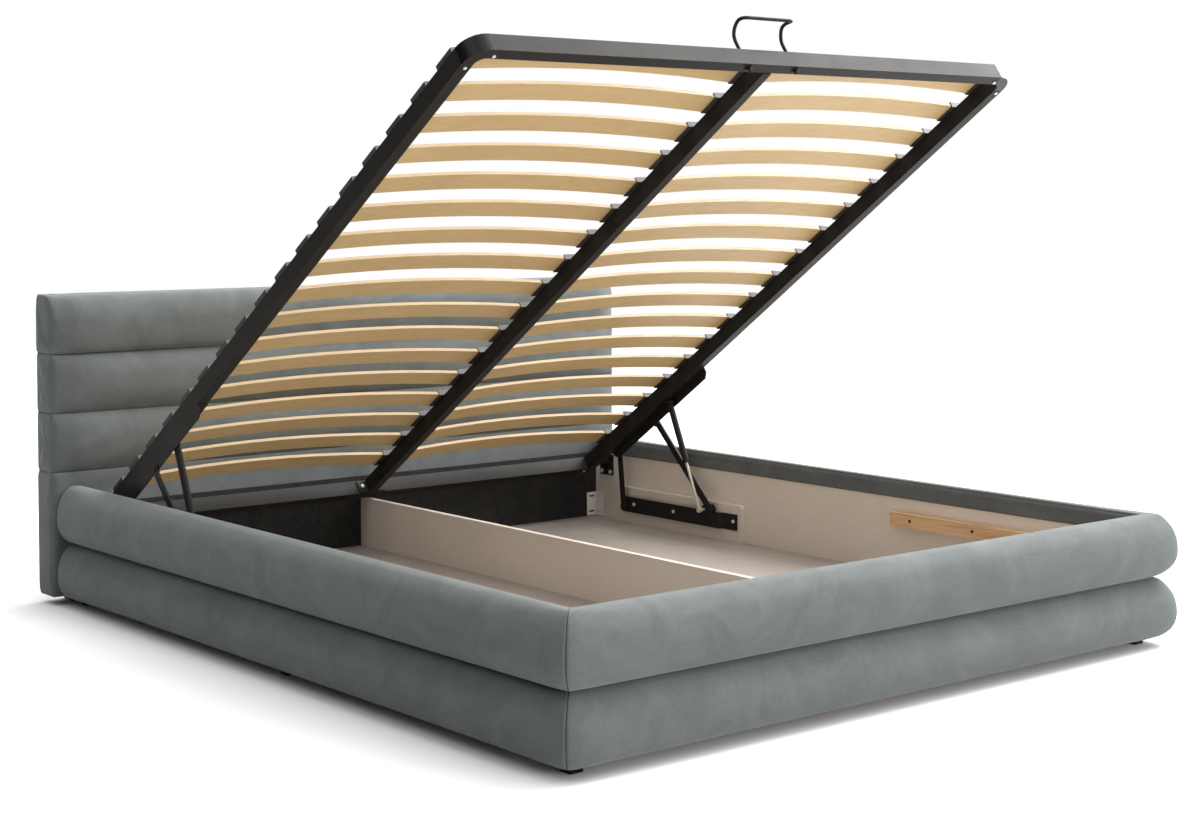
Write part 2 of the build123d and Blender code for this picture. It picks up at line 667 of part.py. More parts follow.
def front_arm():
    """Long arm from the base plate to the rail, with the lug that the strut stands on."""
    arm = link(FRONT_BASE, FRONT_TIP, ARM_WIDTH, ARM_X, ARM_THICKNESS)
    arm = arm + link(FRONT_BASE, STRUT_FOOT, 2 * ARM_EYE_RADIUS, ARM_X, ARM_THICKNESS)
    arm = arm - pivot_bore(FRONT_TIP, PIVOT_RADIUS)
    stub = rod_x((ARM_X, STRIP_X - OPEN_PIVOT_GAP), FRONT_BASE[0], FRONT_BASE[1], PIVOT_RADIUS)
    return arm + stub


def strut_plane():
    """Plane whose Z runs down the strut from its upper pin."""
    down = (0, STRUT_FOOT[0] - STRUT_TOP[0], STRUT_FOOT[1] - STRUT_TOP[1])
    return Plane(origin=(STRUT_X, STRUT_TOP[0], STRUT_TOP[1]), x_dir=(1, 0, 0), z_dir=down)


def strut_cylinder():
    """Gas strut's cylinder with the eye that hangs on the rail."""
    plane = strut_plane()
    body = plane * Pos(0, 0, (CYLINDER_START + CYLINDER_LENGTH) / 2)
    body = body * Cylinder(CYLINDER_RADIUS, CYLINDER_LENGTH - CYLINDER_START)
    half = STRUT_EYE_THICKNESS / 2
    eye = rod_x((STRUT_X - half, STRUT_X + half), STRUT_TOP[0], STRUT_TOP[1], STRUT_EYE_RADIUS)
    hole = rod_x((STRUT_X - 2 * half, STRUT_X + 2 * half), STRUT_TOP[0], STRUT_TOP[1], STRUT_PIN_RADIUS + PIN_GAP)
    bore_start = strut_length() - ROD_LENGTH - strut_stroke() - OVERRUN
    bore_end = CYLINDER_LENGTH + OVERRUN
    bore = plane * Pos(0, 0, (bore_start + bore_end) / 2)
    bore = bore * Cylinder(ROD_RADIUS + ROD_BORE_GAP, bore_end - bore_start)
    return body + eye - hole - bore


def strut_length():
    """Distance between the strut's two eyes while the platform is up."""
    return math.dist(STRUT_TOP, STRUT_FOOT)


def strut_stroke():
    """How far the rod goes in as the platform comes down."""
    top = closed_point(STRUT_V - RAIL_TRAVEL, STRUT_W)
    tip_down = closed_point(FRONT_ARM_V - RAIL_TRAVEL, FRONT_ARM_W)
    up = math.atan2(FRONT_TIP[1] - FRONT_BASE[1], FRONT_TIP[0] - FRONT_BASE[0])
    down = math.atan2(tip_down[1] - FRONT_BASE[1], tip_down[0] - FRONT_BASE[0])
    turn = down - up
    foot_y = FRONT_BASE[0] + FRONT_LUG_REACH * math.cos(turn) + FRONT_LUG_DROP * math.sin(turn)
    foot_z = FRONT_BASE[1] + FRONT_LUG_REACH * math.sin(turn) - FRONT_LUG_DROP * math.cos(turn)
    return strut_length() - math.dist(top, (foot_y, foot_z))


def strut_rod():
    """Gas strut's rod with its lower eye and the stub that points at the arm's lug."""
    length = strut_length()
    start = length - ROD_LENGTH
    end = length - ROD_END_SHARE * ROD_EYE_RADIUS
    rod = strut_plane() * Pos(0, 0, (start + end) / 2)
    rod = rod * Cylinder(ROD_RADIUS, end - start)
    half = ROD_EYE_THICKNESS / 2
    eye = rod_x((STRUT_X - half, STRUT_X + half), STRUT_FOOT[0], STRUT_FOOT[1], ROD_EYE_RADIUS)
    stub = rod_x((STRUT_X, ARM_X - OPEN_PIVOT_GAP), STRUT_FOOT[0], STRUT_FOOT[1], STRUT_PIN_RADIUS)
    return rod + eye + stub


def base_bolts(gap):
    """Bolts of the right-hand base plate, grown by a gap when they are used as holes."""
    bolts = []
    for place in BASE_BOLT_PLACES:
        on_tab = place > STRIP_END - FOOT_TAB
        face = PLATE_FACE - STRIP_THICKNESS if on_tab else STRIP_X
        end = PLATE_FACE + BASE_BOLT_LENGTH + gap
        shank = rod_x((face - gap, end), at(place), BASE_BOLT_HEIGHT, BASE_BOLT_RADIUS + gap)
        head_end = face - BASE_BOLT_HEAD_HEIGHT
        head = rod_x((head_end, face), at(place), BASE_BOLT_HEIGHT, BASE_BOLT_HEAD_RADIUS)
        bolts.append(shank if gap else shank + head)
    return bolts


def base_plate():
    """Steel strip that stands off the wooden plate, joggled back to it at both ends."""
    tab_x = PLATE_FACE - STRIP_THICKNESS
    rear_step = STRIP_START + REAR_TAB
    foot_step = STRIP_END - FOOT_TAB
    inner = [
        (tab_x, at(STRIP_START)),
        (tab_x, at(rear_step)),
        (STRIP_X, at(rear_step + JOGGLE)),
        (STRIP_X, at(foot_step - JOGGLE)),
        (tab_x, at(foot_step)),
        (tab_x, at(STRIP_END)),
    ]
    outer = [(x + STRIP_THICKNESS, y) for x, y in reversed(inner)]
    strip = extrude(make_face(Polyline(*inner, *outer, close=True)), STRIP_TOP - STRIP_BOTTOM)
    strip = Pos(0, 0, STRIP_BOTTOM) * strip
    strip_outer = STRIP_X + STRIP_THICKNESS
    strip = strip + rod_x((STRIP_X, strip_outer), FRONT_BASE[0], FRONT_BASE[1], STRIP_LUG_RADIUS)
    for place in BASE_BOLT_PLACES:
        if place < foot_step:
            spacer = rod_x((strip_outer, PLATE_FACE), at(place), BASE_BOLT_HEIGHT, BASE_SPACER_RADIUS)
            strip = strip + spacer
    for hole in base_bolts(SEAT_GAP):
        strip = strip - hole
    return strip


def reinforcing_plate():
    """Wooden plate on the side board that spreads the load of the lift."""
    block = box((PLATE_FACE, BOARD_INNER), (at(PLATE_END), at(PLATE_START)), (FLOOR_TOP, PLATE_TOP))
    edges = block.edges().filter_by(Axis.X).group_by(Axis.Z)[-1]
    block = fillet(edges, PLATE_CORNER)
    for hole in base_bolts(SEAT_GAP):
        block = block - hole
    return block


def hinge_screws(gap):
    """Screws of the right-hand hinge bracket, grown by a gap when they are used as holes."""
    face = BOARD_INNER - HINGE_PLATE_THICKNESS
    screws = []
    for side in (-1, 1):
        y = PIVOT_Y + side * (HINGE_PLATE_WIDTH / 2 - HINGE_SCREW_INSET)
        z = HINGE_PLATE_BOTTOM + HINGE_SCREW_INSET
        shank = rod_x((face, face + HINGE_SCREW_LENGTH + gap), y, z, HINGE_SCREW_RADIUS + gap)
        head = rod_x((face - HINGE_SCREW_HEAD_HEIGHT, face), y, z, HINGE_SCREW_HEAD_RADIUS)
        screws.append(shank if gap else shank + head)
    return screws


def hinge_pin():
    """Pin that the platform's side tube turns on."""
    inner = PLATFORM_HALF_WIDTH - TUBE_WIDTH - FACE_GAP
    pin = rod_x((inner, BOARD_INNER - HINGE_PLATE_THICKNESS), PIVOT_Y, PIVOT_Z, HINGE_PIN_RADIUS)
    head = rod_x((inner - HINGE_HEAD_THICKNESS, inner), PIVOT_Y, PIVOT_Z, HINGE_HEAD_RADIUS)
    return pin + head


def hinge_bracket():
    """Plate on the side board with the boss that carries the hinge pin."""
    face = BOARD_INNER - HINGE_PLATE_THICKNESS
    half = HINGE_PLATE_WIDTH / 2
    width = (PIVOT_Y - half, PIVOT_Y + half)
    plate = box((face, BOARD_INNER), width, (HINGE_PLATE_BOTTOM, HINGE_PLATE_TOP))
    boss = rod_x((PLATFORM_HALF_WIDTH + FACE_GAP, face), PIVOT_Y, PIVOT_Z, HINGE_BOSS_RADIUS)
    bore = rod_x((PLATFORM_HALF_WIDTH, face), PIVOT_Y, PIVOT_Z, HINGE_PIN_RADIUS + PIN_GAP)
    bracket = plate + (boss - bore)
    for hole in hinge_screws(SEAT_GAP):
        bracket = bracket - hole
    return bracket


def lift_mechanism():
    """Both sides of the lift."""
    save_pair("lift_rail", lift_rail())
    save_pair("rear_arm", rear_arm())
    save_pair("front_arm", front_arm())
    save_pair("strut_cylinder", strut_cylinder())
    save_pair("strut_rod", strut_rod())
    save_pair("base_plate", base_plate())
    save_pair("reinforcing_plate", reinforcing_plate())
    save_pair("hinge_bracket", hinge_bracket())
    save("hinge_pins", *both_sides(hinge_pin()))
    bolts = []
    for bolt in base_bolts(0) + hinge_screws(0):
        bolts += both_sides(bolt)
    save("lift_bolts", *bolts)


# Platform: built where it lies when it is down, then turned up about the hinge

TUBE_INNER = PLATFORM_HALF_WIDTH - TUBE_WIDTH
DECK = CLOSED_HEIGHT + TUBE_HEIGHT
SIDE_TUBE_START = HEAD_CAP_THICKNESS
SIDE_TUBE_END = PLATFORM_LENGTH - FOOT_CORNER_RADIUS
INNER_FOOT = PLATFORM_LENGTH - TUBE_WIDTH


def platform_y(v):
    """Y of a place on the lowered platform."""
    return closed_point(v, 0)[0]


def tube_height(inset):
    """Heights of the tubes' faces, moved in by an inset."""
    return (CLOSED_HEIGHT + inset, DECK - inset)


def hollow(x, v, open_x):
    """Rectangular tube, open at its ends along X or along Y."""
    y = (platform_y(v[1]), platform_y(v[0]))
    outside = box(x, y, tube_height(0))
    along = (x[0] - OVERRUN, x[1] + OVERRUN) if open_x else (x[0] + TUBE_WALL, x[1] - TUBE_WALL)
    across = (y[0] + TUBE_WALL, y[1] - TUBE_WALL) if open_x else (y[0] - OVERRUN, y[1] + OVERRUN)
    return outside - box(along, across, tube_height(TUBE_WALL))


def foot_cap():
    """Rounded corner between the right side tube and the foot tube, with a plug for each."""
    centre_x = PLATFORM_HALF_WIDTH - FOOT_CORNER_RADIUS
    centre_y = platform_y(SIDE_TUBE_END)
    outer = rod_z(centre_x, centre_y, tube_height(0), FOOT_CORNER_RADIUS)
    inner = rod_z(centre_x, centre_y, tube_height(-OVERRUN), FOOT_CORNER_RADIUS - TUBE_WIDTH)
    quarter_x = (centre_x, PLATFORM_HALF_WIDTH)
    quarter_y = (platform_y(PLATFORM_LENGTH), centre_y)
    cap = (outer - inner) & box(quarter_x, quarter_y, tube_height(0))
    skin = TUBE_WALL + SEAT_GAP
    side_plug_y = (centre_y, centre_y + CAP_PLUG_LENGTH)
    cap = cap + box((TUBE_INNER + skin, PLATFORM_HALF_WIDTH - skin), side_plug_y, tube_height(skin))
    foot_plug_x = (centre_x - CAP_PLUG_LENGTH, centre_x)
    foot_plug_y = (platform_y(PLATFORM_LENGTH) + skin, platform_y(INNER_FOOT) - skin)
    return cap + box(foot_plug_x, foot_plug_y, tube_height(skin))


def head_cap():
    """Cap that closes the head end of the right side tube."""
    run = (platform_y(HEAD_CAP_THICKNESS), platform_y(0))
    cap = box((TUBE_INNER, PLATFORM_HALF_WIDTH), run, tube_height(0))
    skin = TUBE_WALL + SEAT_GAP
    plug_end = HINGE_V - HINGE_PIN_RADIUS - HEAD_PLUG_GAP
    plug_run = (platform_y(plug_end), platform_y(HEAD_CAP_THICKNESS))
    return cap + box((TUBE_INNER + skin, PLATFORM_HALF_WIDTH - skin), plug_run, tube_height(skin))


def rivets():
    """Round heads under the tubes, beside the foot corners and at the ends of the head tube."""
    under = (CLOSED_HEIGHT - RIVET_HEIGHT, CLOSED_HEIGHT)
    beside_corner = PLATFORM_HALF_WIDTH - FOOT_CORNER_RADIUS - RIVET_INSET
    places = [
        (beside_corner, INNER_FOOT + RIVET_EDGE),
        (PLATFORM_HALF_WIDTH - TUBE_WIDTH / 2, SIDE_TUBE_END - RIVET_INSET),
        (TUBE_INNER - RIVET_INSET, TUBE_WIDTH / 2),
    ]
    heads = []
    for x, v in places:
        heads += both_sides(rod_z(x, platform_y(v), under, RIVET_RADIUS))
    return heads


def platform_frame():
    """Tubes, centre bar and corner pieces of the frame."""
    side = hollow((TUBE_INNER, PLATFORM_HALF_WIDTH), (SIDE_TUBE_START, SIDE_TUBE_END), False)
    bore = rod_x((TUBE_INNER - OVERRUN, PLATFORM_HALF_WIDTH + OVERRUN), PIVOT_Y, PIVOT_Z, HINGE_PIN_RADIUS + PIN_GAP)
    save_pair("side_tube", TO_REST * (side - bore))
    head = hollow((-TUBE_INNER, TUBE_INNER), (0, TUBE_WIDTH), True)
    save("head_tube", TO_REST * head)
    foot_half = PLATFORM_HALF_WIDTH - FOOT_CORNER_RADIUS
    foot = hollow((-foot_half, foot_half), (INNER_FOOT, PLATFORM_LENGTH), True)
    for side_sign in (-1, 1):
        place = platform_y(PLATFORM_LENGTH - TUBE_WIDTH / 2)
        height = (CLOSED_HEIGHT - OVERRUN, DECK + OVERRUN)
        foot = foot - rod_z(side_sign * HANDLE_SPACING / 2, place, height, HANDLE_ROD_RADIUS + SEAT_GAP)
    save("foot_tube", TO_REST * foot)
    half = CENTRE_BAR_WIDTH / 2
    bar_run = (TUBE_WIDTH + FLANGE_THICKNESS, INNER_FOOT - FLANGE_THICKNESS)
    save("centre_bar", TO_REST * hollow((-half, half), bar_run, False))
    save("foot_corner_caps", *[TO_REST * cap for cap in both_sides(foot_cap())])
    save("head_corner_caps", *[TO_REST * cap for cap in both_sides(head_cap())])


def centre_flanges():
    """Plates that join the centre bar to the end tubes, with their bolts and the rivets."""
    plates = []
    bolts = [TO_REST * rivet for rivet in rivets()]
    height = tube_height(FLANGE_MARGIN)
    z = (CLOSED_HEIGHT + DECK) / 2
    ends = ((TUBE_WIDTH, 1), (INNER_FOOT, -1))
    for face, way in ends:
        run = sorted((platform_y(face), platform_y(face + way * FLANGE_THICKNESS)))
        plates.append(TO_REST * box((-FLANGE_HALF_WIDTH, FLANGE_HALF_WIDTH), run, height))
        head_start = face + way * FLANGE_THICKNESS
        head = sorted((platform_y(head_start), platform_y(head_start + way * FLANGE_BOLT_HEIGHT)))
        for side in (-1, 1):
            bolt = rod_y(side * FLANGE_BOLT_SPACING / 2, head, z, FLANGE_BOLT_RADIUS)
            bolts.append(TO_REST * bolt)
    save("centre_bar_flanges", *plates)
    save("frame_bolts", *bolts)


# Slats with their holders


def slat():
    """One sprung slat of the right-hand column, crowned upward."""
    start = CENTRE_HOLDER_WEB / 2 + SLAT_END_GAP
    end = TUBE_INNER + TUBE_WIDTH / 2
    low = DECK + SLAT_SEAT
    middle = (start + end) / 2
    bottom = ThreePointArc((start, low), (middle, low + SLAT_CROWN), (end, low))
    top_z = low + SLAT_THICKNESS
    top = ThreePointArc((start, top_z), (middle, top_z + SLAT_CROWN), (end, top_z))
    sides = Line((start, low), (start, top_z)) + Line((end, low), (end, top_z))
    face = make_face(bottom + top + sides)
    plane = Plane(origin=(0, 0, 0), x_dir=(1, 0, 0), z_dir=(0, -1, 0))
    return extrude(plane * face, SLAT_WIDTH / 2, both=True)


def side_holder():
    """Cup flush with the side tube's outer face, open toward the slat, with a roof that falls outward."""
    inner = TUBE_INNER - HOLDER_REACH
    outer = PLATFORM_HALF_WIDTH
    half = SLAT_WIDTH / 2 + HOLDER_WALL
    fall = (HOLDER_MOUTH_HEIGHT - HOLDER_OUTER_HEIGHT) / (outer - inner)
    plane = Plane(origin=(0, 0, 0), x_dir=(1, 0, 0), z_dir=(0, -1, 0))
    mouth = DECK + HOLDER_MOUTH_HEIGHT
    corners = [(inner, DECK), (outer, DECK), (outer, DECK + HOLDER_OUTER_HEIGHT), (inner, mouth)]
    body = extrude(plane * make_face(Polyline(*corners, close=True)), half, both=True)
    top = body.edges().filter_by(Axis.Y).sort_by(Axis.Z)[-2:]
    body = fillet(top, HOLDER_ROUNDING)
    start = inner - OVERRUN
    end = TUBE_INNER + TUBE_WIDTH / 2 + SLAT_END_GAP
    floor = DECK + SLAT_SEAT
    roof = mouth - HOLDER_ROOF
    pocket = [(start, floor), (end, floor), (end, roof - fall * (end - inner)), (start, roof - fall * (start - inner))]
    room = plane * make_face(Polyline(*pocket, close=True))
    return body - extrude(room, SLAT_WIDTH / 2 + SEAT_GAP, both=True)


def centre_holder():
    """Double cup on the centre bar, open to both columns."""
    half_x = CENTRE_BAR_WIDTH / 2 + CENTRE_HOLDER_REACH
    half = SLAT_WIDTH / 2 + HOLDER_WALL
    body = box((-half_x, half_x), (-half, half), (DECK, DECK + CENTRE_HOLDER_HEIGHT))
    edges = body.edges().filter_by(Axis.Y).group_by(Axis.Z)[-1]
    body = fillet(edges, HOLDER_ROUNDING)
    room = SLAT_WIDTH / 2 + SEAT_GAP
    height = (DECK + SLAT_SEAT, DECK + CENTRE_HOLDER_HEIGHT - HOLDER_ROOF)
    for pocket in both_sides(box((CENTRE_HOLDER_WEB / 2, half_x + OVERRUN), (-room, room), height)):
        body = body - pocket
    return body


def slats_and_holders():
    """Two columns of slats, each end in its own holder."""
    columns = {"slats_right": slat(), "slat_holders_right": side_holder(), "slat_holders_centre": centre_holder()}
    for name, piece in columns.items():
        row = []
        mirrored = []
        for index in range(SLATS):
            place = Pos(0, platform_y(FIRST_SLAT_V + index * SLAT_PITCH), 0)
            row.append(TO_REST * place * piece)
            mirrored.append(mirror(TO_REST * place * piece, about=Plane.YZ))
        save(name, *row)
        if name.endswith("right"):
            save(name.replace("right", "left"), *mirrored)


def lift_handle():
    """Bent rod that is bolted through the foot tube and loops out over the foot."""
    root_v = PLATFORM_LENGTH - TUBE_WIDTH / 2
    half = HANDLE_SPACING / 2

    def place(x, reach, rise):
        """Place on the handle, out from its leg and up from the slat side of the tube."""
        return (x, platform_y(root_v + reach), DECK + rise)

    def loop(side):
        """Curve of one leg from the knee over the loop into the grip."""
        knee = place(side * half, 0, HANDLE_LEG_RISE)
        shoulder = place(side * half, HANDLE_SHOULDER_REACH, HANDLE_SHOULDER_RISE)
        apex = place(side * half, HANDLE_APEX_REACH, HANDLE_APEX_RISE)
        bend = place(side * (half - HANDLE_BEND), HANDLE_GRIP_REACH, HANDLE_GRIP_RISE)
        return Spline(knee, shoulder, apex, bend, tangents=[(0, 0, 1), (-side, 0, 0)])

    low = -TUBE_HEIGHT - HANDLE_NUT_THICKNESS
    path = Line(place(half, 0, low), place(half, 0, HANDLE_LEG_RISE)) + loop(1)
    bar_end = (half - HANDLE_BEND, HANDLE_GRIP_REACH, HANDLE_GRIP_RISE)
    path += Line(place(*bar_end), place(-bar_end[0], *bar_end[1:]))
    path += loop(-1)
    path += Line(place(-half, 0, HANDLE_LEG_RISE), place(-half, 0, low))
    section = Plane(origin=place(half, 0, low), z_dir=(0, 0, 1)) * Circle(HANDLE_ROD_RADIUS)
    return sweep(section, path=path)


def handle_fixings():
    """Rings and nuts under the foot tube that hold the handle's legs."""
    pieces = []
    y = platform_y(PLATFORM_LENGTH - TUBE_WIDTH / 2)
    ring_low = CLOSED_HEIGHT - HANDLE_RING_THICKNESS
    for side in (-1, 1):
        x = side * HANDLE_SPACING / 2
        hole = rod_z(x, y, (ring_low - OVERRUN, CLOSED_HEIGHT), HANDLE_ROD_RADIUS + SEAT_GAP)
        ring = rod_z(x, y, (ring_low, CLOSED_HEIGHT), HANDLE_RING_RADIUS) - hole
        pieces.append(TO_REST * ring)
        nut_height = (ring_low - HANDLE_NUT_THICKNESS, ring_low)
        nut = rod_z(x, y, nut_height, HANDLE_NUT_RADIUS)
        pieces.append(TO_REST * (nut - hole))
    save("handle_fixings", *pieces)


ledges_and_boards()
floor_and_divider()
inner_band()
corner_brackets()
feet()
lift_mechanism()
platform_frame()
centre_flanges()
slats_and_holders()
save("lift_handle", TO_REST * lift_handle())
handle_fixings()

print("pivot", 0, round(PIVOT_Y, 3), round(PIVOT_Z, 3))
print("rear arm", REAR_BASE, REAR_TIP)
print("front arm", FRONT_BASE, FRONT_TIP)
print("strut", STRUT_TOP, STRUT_FOOT, strut_length(), strut_stroke())
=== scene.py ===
"""Looks of a storage bed with a lifting platform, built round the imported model.

The frame supplies the rigid pieces, which keep their shapes and get procedural
finishes. The padding and the cover cloth are built here as soft pieces that stand
for the plain ones. The padding and the headboard are given in millimetres, the
studio in metres, both in the frame's axes.
"""

import json
import logging
import math
from dataclasses import dataclass
from enum import Enum
from typing import Callable, Optional, Sequence, Union

import bmesh
import bpy
import numpy as np
from mathutils import Euler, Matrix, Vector, noise

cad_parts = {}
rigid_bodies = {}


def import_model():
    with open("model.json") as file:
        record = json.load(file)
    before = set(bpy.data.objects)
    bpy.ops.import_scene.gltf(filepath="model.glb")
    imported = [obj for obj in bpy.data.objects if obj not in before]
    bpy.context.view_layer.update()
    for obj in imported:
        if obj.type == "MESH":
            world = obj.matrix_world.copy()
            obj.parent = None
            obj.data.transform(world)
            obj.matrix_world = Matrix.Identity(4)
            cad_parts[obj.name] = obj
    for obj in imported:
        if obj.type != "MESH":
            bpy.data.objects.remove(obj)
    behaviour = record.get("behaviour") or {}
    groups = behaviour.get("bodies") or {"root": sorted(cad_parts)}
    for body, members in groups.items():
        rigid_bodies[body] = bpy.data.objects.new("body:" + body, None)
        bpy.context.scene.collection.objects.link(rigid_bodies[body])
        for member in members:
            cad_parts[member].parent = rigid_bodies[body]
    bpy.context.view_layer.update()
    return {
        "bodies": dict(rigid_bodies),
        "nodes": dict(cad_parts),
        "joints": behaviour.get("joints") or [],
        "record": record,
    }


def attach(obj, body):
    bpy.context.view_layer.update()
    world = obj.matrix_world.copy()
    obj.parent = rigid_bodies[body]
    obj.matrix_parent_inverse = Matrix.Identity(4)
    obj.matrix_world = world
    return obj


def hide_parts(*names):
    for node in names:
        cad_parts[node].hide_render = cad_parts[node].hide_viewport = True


MM = 0.001
BOX_BODY = "bed_box"
LOG = logging.getLogger("storage_bed")

Piece = bpy.types.Object
Tree = bpy.types.NodeTree
Socket = bpy.types.NodeSocket
Sockets = bpy.types.bpy_prop_collection
Colour = tuple[float, float, float]
Place = tuple[float, float, float]
Number = Union[Socket, float]
Tint = Union[Socket, Colour]
Value = Union[Socket, float, Colour, tuple[float, float, float, float]]


# Shader graphs


class Graph:
    """Adds nodes to one node tree and joins them, with the fewest words."""

    def __init__(self, tree: Tree) -> None:
        """Keeps the tree that the nodes go into."""
        self.tree = tree

    def add(self, kind: str, values: Optional[dict[Union[str, int], Value]] = None,
            **settings: object) -> bpy.types.Node:
        """Adds one node.

        Args:
            kind: Blender's type name of the node.
            values: sockets to join and constants to set, by the input's name or number.
            **settings: the node's properties.

        Returns:
            The new node.
        """
        node = self.tree.nodes.new(kind)
        for name, value in settings.items():
            setattr(node, name, value)
        for key, value in (values or {}).items():
            if isinstance(value, Socket):
                self.tree.links.new(value, node.inputs[key])
            else:
                node.inputs[key].default_value = value
        return node

    def maths(self, operation: str, first: Number, second: Number = 0.0) -> Socket:
        """Adds a maths node."""
        return self.add("ShaderNodeMath", {0: first, 1: second}, operation=operation).outputs[0]

    def dot(self, first: Value, second: Value) -> Socket:
        """Adds a dot product of two vectors."""
        node = self.add("ShaderNodeVectorMath", {0: first, 1: second}, operation="DOT_PRODUCT")
        return node.outputs["Value"]

    def weighted(self, first: Socket, second: Socket, share: float) -> Socket:
        """Sum of a share of the first value and the rest of the second."""
        return self.maths("ADD", self.maths("MULTIPLY", first, share),
                          self.maths("MULTIPLY", second, 1.0 - share))

    def ramp(self, source: Socket, low: float, high: float) -> Socket:
        """Stretches the part of a value's range from low to high over 0 to 1."""
        values = {"Value": source, "From Min": low, "From Max": high}
        return self.add("ShaderNodeMapRange", values).outputs["Result"]

    def layers(self, base: Tint, *coats: tuple[Socket, float, Tint]) -> Tint:
        """Lays coats over a colour, one after the other.

        Args:
            base: the colour under them.
            *coats: each coat's mask, its share where the mask is 1, and its colour.

        Returns:
            The last mixed colour's socket.
        """
        for mask, share, over in coats:
            ends = {place: value if isinstance(value, Socket) else (*value, 1.0)
                    for place, value in ((6, base), (7, over))}
            factor = self.maths("MULTIPLY", mask, share)
            base = self.add("ShaderNodeMix", {0: factor, **ends}, data_type="RGBA").outputs[2]
        return base

    def noise(self, where: Socket, scale: Number, detail: float = 3.0, rough: float = 0.5,
              warp: float = 0.0) -> Socket:
        """Adds a noise texture.

        Args:
            where: the place that it is read at.
            scale: how many features fit in a metre.
            detail: how many finer layers it has.
            rough: how strong the finer layers are.
            warp: how far it is distorted.

        Returns:
            The noise value's socket.
        """
        values = {"Vector": where, "Scale": scale, "Detail": detail, "Roughness": rough,
                  "Distortion": warp}
        return self.add("ShaderNodeTexNoise", values).outputs["Fac"]

    def place(self) -> Socket:
        """Place on the object."""
        return self.add("ShaderNodeTexCoord").outputs["Object"]

    def stretched(self, scale: Place) -> Socket:
        """Place on the object, stretched differently along each axis."""
        values = {"Vector": self.place(), "Scale": scale}
        return self.add("ShaderNodeMapping", values).outputs["Vector"]

    def seen_or_lit(self, seen: bpy.types.Node, lit: bpy.types.Node, output: str) -> None:
        """Shows the camera one shader and lights the scene with another.

        Args:
            seen: shader for the camera's own rays.
            lit: shader for all other rays.
            output: type name of the output node.
        """
        path = self.add("ShaderNodeLightPath").outputs["Is Camera Ray"]
        mix = self.add("ShaderNodeMixShader", {0: path, 1: lit.outputs[0], 2: seen.outputs[0]})
        self.add(output, {"Surface": mix.outputs[0]})


Recipe = Callable[[Graph, Sockets], dict[str, Socket]]


